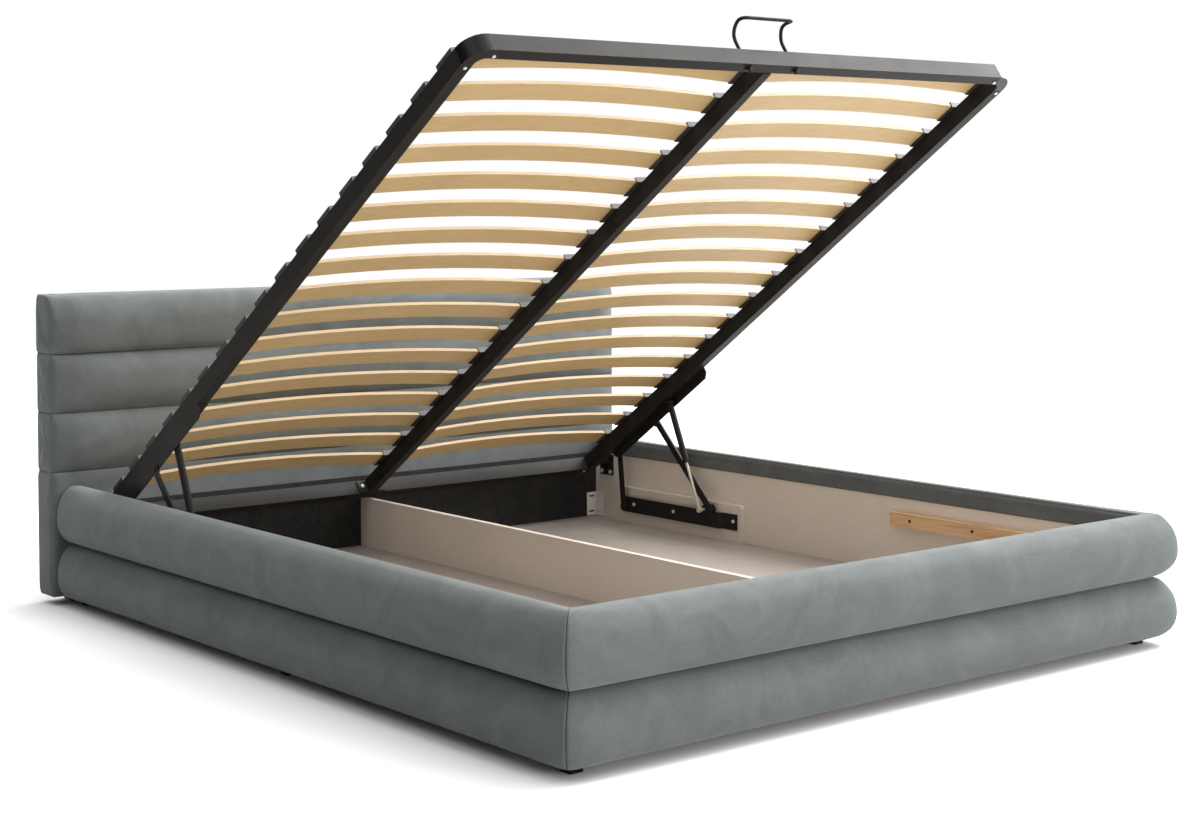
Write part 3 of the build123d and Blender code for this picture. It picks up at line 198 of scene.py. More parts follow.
class SharedEffects:
    """Node groups that several finishes use, each built once."""

    def __init__(self) -> None:
        """Builds all the groups, with their inputs' usual values."""
        self.pile = self._group("short_pile", {"Patch": 5.0, "Thread": 1.0}, self._pile)
        self.grain = self._group("wood_grain", {"Along Y": 0.0, "Figure": 1.0}, self._grain)
        self.wear = self._group("edge_wear", {"Radius": 0.002, "Patch": 60.0}, self._wear)
        # Faces that look up, in clouds: thin dust, and on the boards painted light from above as
        # well.
        self.dust_and_top_light = self._group("thin_dust_and_top_light", {"Scale": 14.0}, self._dust_and_top_light_mask)
        self.speckle = self._group("fine_grain", {"Scale": 700.0}, self._speckle)
        self.facing = self._group("facing", {"X": 0.0, "Y": 0.0, "Z": 1.0}, self._facing)

    @staticmethod
    def _group(name: str, inputs: dict[str, float], recipe: Recipe) -> Tree:
        """Builds one group.

        Args:
            name: the group's name.
            inputs: input names with their usual values.
            recipe: adds the nodes and gives the outputs by name.

        Returns:
            The group's tree.
        """
        tree = bpy.data.node_groups.new(name, "ShaderNodeTree")
        kind = "NodeSocketFloat"
        for label, value in inputs.items():
            socket = tree.interface.new_socket(label, in_out="INPUT", socket_type=kind)
            socket.default_value = value
        graph = Graph(tree)
        made = recipe(graph, graph.add("NodeGroupInput").outputs)
        for label in made:
            tree.interface.new_socket(label, in_out="OUTPUT", socket_type=kind)
        graph.add("NodeGroupOutput", made)
        return tree

    @staticmethod
    def _pile(graph: Graph, given: Sockets) -> dict[str, Socket]:
        """Short pile over a fine weave: brushed patches, threads, tufts and their height."""
        where, across = graph.place(), graph.stretched((9.0, 9.0, 230.0))
        upright = graph.stretched((260.0, 260.0, 16.0))
        patches = graph.noise(where, given["Patch"], detail=6.0, rough=0.62, warp=1.1)
        streaks = graph.noise(across, given["Thread"], detail=3.0, rough=0.7)
        strands = graph.noise(upright, given["Thread"], detail=2.0, rough=0.6)
        threads = graph.weighted(streaks, strands, 0.65)
        fibres = graph.noise(where, 1400.0, detail=2.0)
        tufts = graph.noise(where, 210.0, detail=4.0, rough=0.75)
        return {"Patches": graph.ramp(patches, 0.33, 0.67),
                "Threads": graph.ramp(threads, 0.35, 0.65),
                "Speckle": graph.ramp(tufts, 0.3, 0.7),
                "Height": graph.weighted(threads, fibres, 0.6)}

    @staticmethod
    def _facing(graph: Graph, given: Sockets) -> dict[str, Socket]:
        """Picks the faces that look along a direction of the object, or away from it."""
        way = graph.add("ShaderNodeCombineXYZ", {axis: given[axis] for axis in "XYZ"}).outputs[0]
        normal = graph.add("ShaderNodeTexCoord").outputs["Normal"]
        return {"Mask": graph.ramp(graph.maths("ABSOLUTE", graph.dot(normal, way)), 0.7, 0.9)}

    @staticmethod
    def _grain(graph: Graph, given: Sockets) -> dict[str, Socket]:
        """Wood grain that runs along X or along Y, with fine pores and uneven boards."""
        along, across, waves = 1.6, 26.0, 46.0
        ways = {0: given["Along Y"], 4: graph.stretched((along, across, across)),
                5: graph.stretched((across, along, across))}
        where = graph.add("ShaderNodeMix", ways, data_type="VECTOR").outputs[1]
        rings = graph.noise(where, given["Figure"], detail=4.0, rough=0.6, warp=1.4)
        bands = graph.maths("SINE", graph.maths("MULTIPLY", rings, waves))
        pores = graph.noise(where, 9.0, detail=5.0, rough=0.75)
        board = graph.noise(graph.place(), 4.0, detail=1.0)
        return {"Grain": graph.ramp(bands, -1.0, 1.0), "Pores": graph.ramp(pores, 0.38, 0.66),
                "Board": graph.ramp(board, 0.3, 0.7)}

    @staticmethod
    def _wear(graph: Graph, given: Sockets) -> dict[str, Socket]:
        """Mask of edges that hands and tools have rubbed."""
        rounded = graph.add("ShaderNodeBevel", {"Radius": given["Radius"]}, samples=4)
        flat = graph.add("ShaderNodeNewGeometry").outputs["Normal"]
        turned = graph.maths("SUBTRACT", 1.0, graph.dot(rounded.outputs["Normal"], flat))
        patch = graph.noise(graph.place(), given["Patch"], detail=5.0, rough=0.7)
        edge, broken = graph.ramp(turned, 0.02, 0.22), graph.ramp(patch, 0.42, 0.62)
        return {"Mask": graph.maths("MULTIPLY", edge, broken)}

    @staticmethod
    def _dust_and_top_light_mask(graph: Graph, given: Sockets) -> dict[str, Socket]:
        """Mask of faces that look up, in clouds: thin dust, and on the boards also painted light
        from above.
        """
        normal = graph.add("ShaderNodeNewGeometry").outputs["Normal"]
        height = graph.add("ShaderNodeSeparateXYZ", {0: normal}).outputs["Z"]
        cloud = graph.noise(graph.place(), given["Scale"], detail=6.0, rough=0.65)
        upward, spread = graph.ramp(height, 0.15, 1.0), graph.ramp(cloud, 0.35, 0.75)
        return {"Mask": graph.maths("MULTIPLY", upward, spread)}

    @staticmethod
    def _speckle(graph: Graph, given: Sockets) -> dict[str, Socket]:
        """Fine moulded or sprayed grain, and slow clouds of tone."""
        where = graph.place()
        cloud = graph.noise(where, 6.0, detail=4.0, rough=0.6)
        return {"Height": graph.noise(where, given["Scale"], detail=3.0, rough=0.6),
                "Cloud": graph.ramp(cloud, 0.3, 0.7)}


def spaced(values: dict[str, Value]) -> dict[str, Value]:
    """Socket names as Blender writes them, from names with low lines for spaces."""
    return {name.replace("_", " "): value for name, value in values.items()}


def toned(colour: Colour, factor: float, lift: float = 0.0) -> Colour:
    """A colour made darker or lighter, and raised."""
    return tuple(min(1.0, value * factor + lift) for value in colour)


class Material:
    """A material under construction: its graph and its shader."""

    def __init__(self, name: str) -> None:
        """Starts an empty material with its Principled shader.

        Args:
            name: the material's name.
        """
        self.material = bpy.data.materials.new(name)
        self.material.use_nodes = True
        self.material.node_tree.nodes.clear()
        self.graph = Graph(self.material.node_tree)
        self.shader = self.graph.add("ShaderNodeBsdfPrincipled")
        self.graph.add("ShaderNodeOutputMaterial", {"Surface": self.shader.outputs[0]})

    def use(self, group: Tree, **values: float) -> Sockets:
        """Places a shared group with its own values and gives its outputs."""
        return self.graph.add("ShaderNodeGroup", spaced(values), node_tree=group).outputs

    def finish(self, colour: Socket, mask: Socket, rough: tuple[float, float], height: Socket,
               relief: float, depth: float, **constants: Value) -> bpy.types.Material:
        """Joins the colour, a varied roughness and a bump to the shader.

        Args:
            colour: the base colour.
            mask: value from 0 to 1 that the roughness follows.
            rough: roughness where the mask is 0, and where it is 1.
            height: the bump's height value.
            relief: how strong the bump is.
            depth: how far its height reaches, in metres.
            **constants: the shader's own sockets.

        Returns:
            The finished material.
        """
        graph, sockets = self.graph, self.shader.inputs
        ends = {"Value": mask, "To Min": rough[0], "To Max": rough[1]}
        lift = {"Height": height, "Strength": relief, "Distance": depth}
        joined = {"Base Color": colour,
                  "Roughness": graph.add("ShaderNodeMapRange", ends).outputs["Result"],
                  "Normal": graph.add("ShaderNodeBump", lift).outputs["Normal"]}
        for name, source in joined.items():
            graph.tree.links.new(source, sockets[name])
        for name, value in spaced(constants).items():
            sockets[name].default_value = value
        return self.material


# Finishes


@dataclass(frozen=True)
class ClothFinish:
    """Short-pile cover cloth."""

    name: str = "cover_cloth"
    base: Colour = (0.0835, 0.0920, 0.0912)
    brushed: Colour = (0.1235, 0.1345, 0.1335)
    patch: float = 8.5
    thread: float = 1.0
    gap_share: float = 0.30
    gap_tone: float = 0.86
    tuft_share: float = 0.42
    tuft_tone: float = 1.22
    rough: tuple[float, float] = (0.92, 0.80)
    relief: float = 0.30
    depth: float = 0.0012
    sheen: float = 0.30
    sheen_tint: tuple[float, float, float, float] = (0.86, 0.93, 0.92, 1.0)

    def build(self, effects: SharedEffects) -> bpy.types.Material:
        """Builds the material from the shared groups."""
        made = Material(self.name)
        pile = made.use(effects.pile, Patch=self.patch, Thread=self.thread)
        gaps = made.graph.maths("SUBTRACT", 1.0, pile["Threads"])
        colour = made.graph.layers(
            self.base, (pile["Patches"], 1.0, self.brushed),
            (gaps, self.gap_share, toned(self.base, self.gap_tone)),
            (pile["Speckle"], self.tuft_share, toned(self.brushed, self.tuft_tone)))
        return made.finish(colour, pile["Patches"], self.rough, pile["Height"], self.relief,
                           self.depth, Sheen_Weight=self.sheen, Sheen_Roughness=0.45,
                           Sheen_Tint=self.sheen_tint, Specular_IOR_Level=0.22)


@dataclass(frozen=True)
class HardFinish:
    """Clouded tone under a fine grain, with rubbed edges, and thin dust on faces that look up
    that on the boards is partly painted light from above.
    """

    name: str
    base: Colour
    light: Optional[Colour] = None
    fibre: float = 0.0
    cloud: float = 0.5
    wear: float = 0.5
    dust_and_top_light: float = 0.04
    rubbed: Colour = (0.12, 0.118, 0.115)
    dust_and_top_light_tone: Colour = (0.46, 0.44, 0.41)
    rough: tuple[float, float] = (0.45, 0.62)
    relief: float = 0.10
    depth: float = 0.0003
    metallic: float = 0.0
    shine: float = 0.5
    grain_scale: float = 420.0
    edge_radius: float = 0.0012
    edge_patch: float = 90.0
    dust_and_top_light_scale: float = 22.0

    def build(self, effects: SharedEffects) -> bpy.types.Material:
        """Builds the material from the shared groups."""
        made = Material(self.name)
        light = self.light or toned(self.base, 1.25, 0.004)
        fine = made.use(effects.speckle, Scale=self.grain_scale)
        wear = made.use(effects.wear, Radius=self.edge_radius, Patch=self.edge_patch)
        # The dust coat lightens faces that look up in clouds; on the boards it is partly painted
        # light from above.
        dust_and_top_light = made.use(effects.dust_and_top_light, Scale=self.dust_and_top_light_scale)
        coats = [(fine["Cloud"], self.cloud, light), (wear["Mask"], self.wear, self.rubbed),
                 (dust_and_top_light["Mask"], self.dust_and_top_light, self.dust_and_top_light_tone)]
        if self.fibre:
            grain = made.use(effects.grain, Along_Y=1.0, Figure=0.6)
            coats.insert(0, (grain["Pores"], self.fibre, light))
        return made.finish(made.graph.layers(self.base, *coats), fine["Cloud"], self.rough,
                           fine["Height"], self.relief, self.depth, Metallic=self.metallic,
                           Specular_IOR_Level=self.shine)


@dataclass(frozen=True)
class BoardFinish(HardFinish):
    """Faced or plain board with a faint fibre."""

    fibre: float = 0.35
    cloud: float = 0.30
    wear: float = 0.45
    # Lighter tone on faces that look up: thin dust, and painted light from above on the boards'
    # tops and top edges.
    dust_and_top_light: float = 0.10
    rubbed: Colour = (0.62, 0.55, 0.45)
    dust_and_top_light_tone: Colour = (0.78, 0.75, 0.71)
    rough: tuple[float, float] = (0.48, 0.62)
    depth: float = 0.0004
    shine: float = 0.4
    grain_scale: float = 260.0
    edge_radius: float = 0.0015
    edge_patch: float = 40.0
    dust_and_top_light_scale: float = 9.0


@dataclass(frozen=True)
class PlasticFinish(HardFinish):
    """Moulded plastic with a fine spark-eroded grain."""

    cloud: float = 0.6
    dust_and_top_light_tone: Colour = (0.40, 0.39, 0.37)
    relief: float = 0.25
    grain_scale: float = 1100.0
    edge_radius: float = 0.002
    edge_patch: float = 50.0
    dust_and_top_light_scale: float = 30.0


@dataclass(frozen=True)
class WoodFinish:
    """Planed or laminated wood with figure, pores and edges of their own tone, and painted shade
    on the faces that look one way.
    """

    name: str
    early: Colour
    late: Colour
    edge: Colour
    along_y: float
    figure: float
    contrast: float
    edge_share: float
    # Way, tone and share of the painted shade on the faces that look along the way or away from
    # it.
    shaded_side_way: Optional[Place] = None
    shaded_side_tone: float = 1.0
    shaded_side_share: float = 0.85
    pore_share: float = 0.32
    pore_tone: float = 0.82
    board_share: float = 0.35
    board_tone: float = 1.16
    rough: tuple[float, float] = (0.42, 0.55)

    def build(self, effects: SharedEffects) -> bpy.types.Material:
        """Builds the material from the shared groups."""
        made = Material(self.name)
        grain = made.use(effects.grain, Along_Y=self.along_y, Figure=self.figure)
        wear = made.use(effects.wear, Radius=0.0015, Patch=30.0)
        coats = [(grain["Grain"], self.contrast, self.late),
                 (grain["Pores"], self.pore_share, toned(self.late, self.pore_tone)),
                 (grain["Board"], self.board_share, toned(self.early, self.board_tone)),
                 (wear["Mask"], self.edge_share, self.edge)]
        # Painted shade: faces that look along the given way, or away from it, are darkened
        # towards the late tone.
        if self.shaded_side_way is not None:
            side = made.use(effects.facing, **dict(zip("XYZ", self.shaded_side_way)))
            coats.append((side["Mask"], self.shaded_side_share, toned(self.late, self.shaded_side_tone)))
        return made.finish(made.graph.layers(self.early, *coats), grain["Grain"], self.rough,
                           grain["Pores"], 0.12, 0.0003, Coat_Weight=0.08, Coat_Roughness=0.35,
                           Specular_IOR_Level=0.42)


@dataclass(frozen=True)
class FeltFinish:
    """Dark needle felt of the linings."""

    name: str = "lining_felt"
    base: Colour = (0.0094, 0.0087, 0.0078)
    fibre: Colour = (0.0240, 0.0222, 0.0201)
    lint: Colour = (0.036, 0.034, 0.031)

    def build(self, effects: SharedEffects) -> bpy.types.Material:
        """Builds the material from the shared groups."""
        made = Material(self.name)
        pile = made.use(effects.pile, Patch=24.0, Thread=0.6)
        fine = made.use(effects.speckle, Scale=900.0)
        colour = made.graph.layers(self.base, (pile["Patches"], 0.7, self.fibre),
                                   (fine["Height"], 0.25, self.lint))
        return made.finish(colour, pile["Patches"], (0.95, 0.85), fine["Height"], 0.4, 0.0006,
                           Sheen_Weight=0.15, Sheen_Roughness=0.5, Specular_IOR_Level=0.2)


class Slot(Enum):
    """Names of two of the record's material slots; the pieces built here take their materials
    directly.
    """

    COVER_CLOTH = "cover_cloth"
    LINING = "lining"


class Finishes:
    """All the finishes of the bed, built once."""

    def __init__(self) -> None:
        """Builds every material."""
        effects = SharedEffects()
        self.cloth = ClothFinish().build(effects)
        self.side_board = BoardFinish(
            "box_board", (0.70, 0.63, 0.555), (0.82, 0.75, 0.68)).build(effects)
        self.plate_board = BoardFinish(
            "plate_board", (0.665, 0.598, 0.527), (0.78, 0.71, 0.645), dust_and_top_light=0.05,
            wear=0.0).build(effects)
        self.floor_board = BoardFinish(
            "floor_board", (0.300, 0.262, 0.232), (0.365, 0.327, 0.297), rough=(0.34, 0.5),
            dust_and_top_light=0.09).build(effects)
        self.raw_board = BoardFinish(
            "raw_board", (0.33, 0.24, 0.155), (0.41, 0.31, 0.21), relief=0.3).build(effects)
        self.pine = WoodFinish(
            "pine", (0.74, 0.50, 0.28), (0.50, 0.275, 0.12), (0.84, 0.64, 0.42), along_y=1.0,
            figure=1.5, contrast=0.75, edge_share=0.3).build(effects)
        # Painted shade on the slats' long sides, the faces that look along the given way and away
        # from it.
        self.slat = WoodFinish(
            "slat_wood", (0.520, 0.362, 0.170), (0.445, 0.298, 0.132), (0.36, 0.27, 0.165),
            along_y=0.0, figure=1.2, contrast=0.55, edge_share=0.7,
            shaded_side_way=(0.0, -0.821, 0.571), shaded_side_tone=0.66).build(effects)
        self.frame = HardFinish(
            "frame_steel", (0.0165, 0.0150, 0.0132), rubbed=(0.085, 0.080, 0.073), wear=0.6,
            dust_and_top_light=0.03, rough=(0.40, 0.52), relief=0.18, shine=0.11,
            grain_scale=520.0).build(effects)
        self.dark_fixing = HardFinish(
            "dark_fixing", (0.016, 0.015, 0.014), rubbed=(0.11, 0.105, 0.10), wear=0.4,
            dust_and_top_light=0.02, rough=(0.26, 0.40), metallic=0.4, shine=0.4,
            grain_scale=520.0).build(effects)
        self.bright = HardFinish(
            "bright_steel", (0.82, 0.81, 0.78), rubbed=(0.92, 0.91, 0.89), rough=(0.26, 0.40),
            metallic=0.45).build(effects)
        self.painted = HardFinish(
            "bracket_paint", (0.80, 0.765, 0.72), rubbed=(0.45, 0.44, 0.42), wear=0.3,
            rough=(0.35, 0.5)).build(effects)
        self.rod = HardFinish(
            "rod_steel", (0.74, 0.71, 0.66), rubbed=(0.85, 0.83, 0.80), wear=0.2, dust_and_top_light=0.0,
            rough=(0.24, 0.32), relief=0.01, metallic=0.5, grain_scale=300.0).build(effects)
        self.plastic = PlasticFinish(
            "black_plastic", (0.022, 0.021, 0.020), (0.060, 0.058, 0.056), dust_and_top_light=0.16,
            shine=0.45).build(effects)
        self.gloss_plastic = PlasticFinish(
            "gloss_plastic", (0.004, 0.004, 0.004), (0.009, 0.009, 0.008), dust_and_top_light=0.02,
            rough=(0.20, 0.30), shine=0.22).build(effects)
        self.felt = FeltFinish().build(effects)


# Meshes


def smooth(piece: Piece) -> Piece:
    """Shades every face of a piece smoothly."""
    for face in piece.data.polygons:
        face.use_smooth = True
    return piece


def outward(piece: Piece) -> None:
    """Turns all of a closed piece's faces outward."""
    work = bmesh.new()
    work.from_mesh(piece.data)
    bmesh.ops.recalc_face_normals(work, faces=work.faces)
    work.to_mesh(piece.data)
    work.free()


def new_piece(name: str, points: Sequence[Sequence[float]],
              faces: Sequence[Sequence[int]]) -> Piece:
    """Makes a mesh object.

    Args:
        name: the object's name.
        points: vertices in millimetres.
        faces: vertex numbers of each face.

    Returns:
        The object, linked to the scene.
    """
    mesh = bpy.data.meshes.new(name)
    mesh.from_pydata((np.asarray(points) * MM).tolist(), [], [list(face) for face in faces])
    mesh.validate()
    mesh.update()
    piece = bpy.data.objects.new(name, mesh)
    bpy.context.scene.collection.objects.link(piece)
    return piece


def corners(piece: Piece) -> np.ndarray:
    """A piece's vertices in metres, one per row."""
    return np.array([vertex.co[:] for vertex in piece.data.vertices])


def line(start: Sequence[float], end: Sequence[float], count: int) -> np.ndarray:
    """Points along a straight run, both ends included."""
    share = np.linspace(0.0, 1.0, count)[:, None]
    return np.asarray(start) * (1 - share) + np.asarray(end) * share


def quarter(centre: Sequence[float], reach: float, rise: float, first: float, count: int,
            power: float = 2.0) -> np.ndarray:
    """Points along a quarter of a full curve: an ellipse at power 2, squarer above it.

    Args:
        centre: the curve's centre.
        reach: half its width.
        rise: half its height.
        first: angle of the first point in degrees.
        count: how many points.
        power: fullness.

    Returns:
        The points, one per row.
    """
    angle = np.radians(np.linspace(first, first + 90.0, count))
    across = np.sign(np.cos(angle)) * np.abs(np.cos(angle)) ** (2 / power)
    up = np.sign(np.sin(angle)) * np.abs(np.sin(angle)) ** (2 / power)
    return np.column_stack([centre[0] + reach * across, centre[1] + rise * up])


def closed_loop(parts: Sequence[np.ndarray], closest: float = 0.05) -> np.ndarray:
    """Joins runs of points into one closed loop, without points that touch the one before."""
    points = np.vstack(parts)
    step = np.linalg.norm(points - np.roll(points, 1, axis=0), axis=1)
    return points[step > closest]


def stations(length: float, dense: Sequence[float], step: float, both_ends: bool) -> np.ndarray:
    """Places along a run, closer together at its ends.

    Args:
        length: length of the run.
        dense: wanted distances from a sewn end.
        step: usual distance between places.
        both_ends: whether the start is sewn as well as the end.

    Returns:
        The places, in order from 0 to the length.
    """
    butted = np.asarray([0.0, 2.0, 5.0, 9.0, 14.0, 22.0])
    sewn = np.asarray(dense)
    first = sewn if both_ends else butted
    middle_start, middle_end = first[-1] + step, length - sewn[-1] - step
    count = max(2, int(round((middle_end - middle_start) / step)) + 1)
    return np.concatenate(
        [first, np.linspace(middle_start, middle_end, count), length - sewn[::-1]])


def skin_faces(rows: int, columns: int) -> list[tuple[int, ...]]:
    """Faces of a tube of sections, closed round each section and capped at both ends."""
    faces: list[tuple[int, ...]] = []
    for here in range(0, (rows - 1) * columns, columns):
        for column in range(columns):
            after = (column + 1) % columns
            faces.append((here + column, here + after, here + columns + after,
                          here + columns + column))
    faces.append(tuple(reversed(range(columns))))
    faces.append(tuple((rows - 1) * columns + column for column in range(columns)))
    return faces


def clipped(share: float) -> float:
    """A share kept from 0 to 1."""
    return max(0.0, min(1.0, share))


def eased(share: float) -> float:
    """A share from 0 to 1 that starts and stops gently."""
    return share * share * (3 - 2 * share)


@dataclass(frozen=True)
class Fade:
    """Effect that is full at a seam and dies away from it."""

    size: float
    reach: float
    power: float

    def at(self, distance: float) -> float:
        """What is left of the effect at a distance from the seam."""
        return self.size * math.exp(-((distance / self.reach) ** self.power))


def ripple(place: Sequence[float], wave: float, seed: float) -> float:
    """Slow random swell of an upholstered surface, from -1 to 1."""
    return noise.noise(Vector((place[0] / wave + seed, place[1] / wave, place[2] / wave - seed)))


def dress(piece: Piece, material: bpy.types.Material, node: str) -> None:
    """Dresses a piece of the box and lets it stand for a plain one.

    Args:
        piece: the finished mesh.
        material: its finish.
        node: the frame's node that it replaces.
    """
    smooth(piece)
    piece.data.materials.clear()
    piece.data.materials.append(material)
    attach(piece, BOX_BODY)
    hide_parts(node)
    LOG.info("%s: %d faces on %s", piece.name, len(piece.data.polygons), BOX_BODY)


def dress_padding(piece: Piece, cloth: bpy.types.Material, node: str) -> None:
    """Adds a subdivision to a padded piece and dresses it in the cover cloth.

    Args:
        piece: the blown-up mesh.
        cloth: the cover cloth.
        node: the frame's node that it replaces.
    """
    modifier = piece.modifiers.new("smooth", "SUBSURF")
    modifier.levels = modifier.render_levels = 1
    dress(piece, cloth, node)


@dataclass
class Inflation:
    """Cloth simulation that blows a cover up over its filling."""

    pressure: float = 4.0
    frames: int = 20
    cap: float = 3.5
    stiffness: float = 12.0
    shear: float = 5.0
    bending: float = 0.6
    mass: float = 0.3
    quality: int = 4

    def run(self, piece: Piece, held: Sequence[int]) -> None:
        """Blows a piece up and leaves the result in its mesh.

        Args:
            piece: closed mesh, slightly smaller than the finished form.
            held: vertices that are sewn or glued down.
        """
        group = piece.vertex_groups.new(name="held")
        group.add([int(index) for index in held], 1.0, "REPLACE")
        cloth = piece.modifiers.new("cover", "CLOTH")
        cloth.settings.effector_weights.gravity = 0.0
        settings = {
            "quality": self.quality, "mass": self.mass, "tension_stiffness": self.stiffness,
            "compression_stiffness": self.stiffness, "shear_stiffness": self.shear,
            "bending_stiffness": self.bending, "use_pressure": True,
            "uniform_pressure_force": self.pressure, "vertex_group_mass": group.name}
        for name, value in settings.items():
            setattr(cloth.settings, name, value)
        cloth.point_cache.frame_start = 1
        cloth.point_cache.frame_end = self.frames
        scene = bpy.context.scene
        for frame in range(1, self.frames + 1):
            scene.frame_set(frame)
        after = corners(piece.evaluated_get(bpy.context.evaluated_depsgraph_get()))
        before = corners(piece)
        piece.modifiers.remove(cloth)
        piece.vertex_groups.remove(group)
        scene.frame_set(1)
        move = after - before
        far = np.linalg.norm(move, axis=1, keepdims=True)
        limit = self.cap * MM
        move *= np.where(far > limit, limit / np.maximum(far, limit), 1.0)
        piece.data.vertices.foreach_set("co", (before + move).ravel())
        piece.data.update()


# Base padding


class Run(Enum):
    """The three runs of padding round the box."""

    LEFT = "left"
    RIGHT = "right"
    FOOT = "foot"


class Level(Enum):
    """The two tiers of padding."""

    LOWER = "lower"
    UPPER = "upper"


@dataclass
class BasePadding:
    """Two padded tiers round the box, mitred at the foot, with the cloth's inner band.

    Distances out are from half_width at the sides and from the length's end at the foot.
    """

    head_y: float = 993.8
    half_width: float = 879.3
    length: float = 2038.5
    bottom: float = 17.0
    crease: float = 157.7
    top: float = 306.7
    back: float = 13.3
    board: float = 16.0
    board_top: float = 296.0
    clear: float = 0.3
    bulge: float = 44.8
    bulge_share: float = 0.59
    slack: float = 1.8
    foot_reach: float = 4.0
    fold: float = 10.8
    parting: tuple[float, float, float] = (0.6, 0.5, 0.4)
    lip: float = 2.0
    bare_back: tuple[float, float, float] = (20.0, 12.0, 8.0)
    top_fall: tuple[float, float] = (6.0, 0.4)
    board_edge: tuple[float, float, float] = (1.5, 5.0, 2.0)
    glued: float = 1.0
    sewn: float = 0.5
    top_inset: float = 8.0
    top_crown: float = 2.4
    tuck: float = 5.0
    fullness: tuple[float, float, float] = (2.1, 2.12, 2.08)
    held_depth: float = 17.0
    seam_places: tuple[float, ...] = (0.0, 1.5, 3.5, 6.5, 11.0, 18.0, 28.0, 42.0)
    step: float = 15.0
    mitre: float = 120.0
    swells: tuple[tuple[float, float, float], ...] = ((1.3, 210.0, 0.0), (0.5, 60.0, 9.0))
    calm: float = 40.0
    corner_draw: Fade = Fade(0.20, 26.0, 1.25)
    stitch_draw: Fade = Fade(0.07, 3.5, 2.0)
    corner_pinch: Fade = Fade(0.10, 17.0, 1.3)
    pinch_depth: float = 24.0
    head_draw: Fade = Fade(0.10, 7.0, 1.5)
    head_pinch: Fade = Fade(0.03, 7.0, 1.5)
    head_zone: float = 20.0
    band_low: float = 256.0
    band_width: float = 42.0
    hem: float = 9.0
    band_profile: tuple[tuple[float, float], ...] = (
        (0.2, 42.0), (0.2, 6.0), (0.2, 0.0), (1.4, -0.6), (2.4, 0.0), (2.1, 5.0), (1.3, 9.0),
        (1.2, 32.0), (1.2, 42.0))
    band_corner: float = 3.0
    band_swell: tuple[float, float] = (0.35, 45.0)
    band_counts: tuple[int, int] = (90, 80)
    seeds: tuple[float, float, float] = (3.0, 7.0, 2.0)

    def _section(self, level: Level) -> tuple[np.ndarray, np.ndarray]:
        """Closed section of a tier.

        Args:
            level: which tier.

        Returns:
            Points as (outward, up), and whether each is held down.
        """
        bulge = self.bulge - self.slack
        front_gap, fold_gap, back_gap = self.parting
        low_power, crease_power, top_power = self.fullness
        low_bare, crease_bare, top_bare = self.bare_back
        fold_end = -self.fold - self.lip
        if level is Level.LOWER:
            middle = self.crease - self.bulge_share * (self.crease - self.bottom)
            points = closed_loop([
                line((-self.back, self.bottom), (0.0, self.bottom), 3),
                quarter((self.foot_reach, middle), bulge - self.foot_reach, middle - self.bottom,
                        -90, 13, low_power),
                quarter((-self.fold, middle), bulge + self.fold, self.crease - front_gap - middle,
                        0, 16, crease_power),
                line((fold_end, self.crease - fold_gap), (-self.back, self.crease - back_gap), 2),
                line((-self.back, self.crease - low_bare),
                     (-self.back, self.bottom + low_bare), 5),
            ])
            near = (points[:, 1] > middle) & (points[:, 0] < self.held_depth)
            return points, near | (points[:, 0] <= self.glued)
        middle = self.top - self.bulge_share * (self.top - self.crease)
        inner = -self.back - self.board
        corner = (inner + self.tuck, self.top - self.top_crown - self.tuck)
        rest = self.board_top + self.clear
        fall_start, fall = self.top_fall
        turn_up, turn_in, turn_stop = self.board_edge
        points = closed_loop([
            line((-self.back, self.crease + back_gap), (fold_end, self.crease + fold_gap), 2),
            quarter((-self.fold, middle), bulge + self.fold, middle - self.crease - front_gap,
                    -90, 15, crease_power),
            quarter((-self.top_inset, middle), bulge + self.top_inset, self.top - middle,
                    0, 16, top_power),
            line((-self.top_inset - fall_start, self.top - fall),
                 (corner[0], self.top - self.top_crown), 3),
            quarter(corner, self.tuck, self.tuck, 90, 5),
            line((inner, self.board_top + turn_up), (inner, rest), 2),
            line((inner + turn_in, rest), (-self.back - turn_stop, rest), 3),
            line((-self.back, self.board_top - top_bare),
                 (-self.back, self.crease + crease_bare), 8),
        ])
        low = (points[:, 1] < middle) & (points[:, 0] < self.held_depth)
        inside = points[:, 0] < inner + self.tuck + self.glued
        behind = points[:, 0] <= -self.back + self.glued
        under = points[:, 1] <= self.board_top + self.glued
        return points, low | inside | (behind & under)

    def _draw_in(self, out: float, seam: float, head: Optional[float]) -> float:
        """Depth that is left near the corner seam and the head end.

        Args:
            out: how far the point stands out.
            seam: distance from the corner seam.
            head: distance from the headboard, for a side run.

        Returns:
            The outward distance, drawn in.
        """
        if out <= 0:
            return out
        share = 1.0 - self.corner_draw.at(seam) - self.stitch_draw.at(seam)
        if head is not None:
            share -= self.head_draw.at(head)
        return out * share

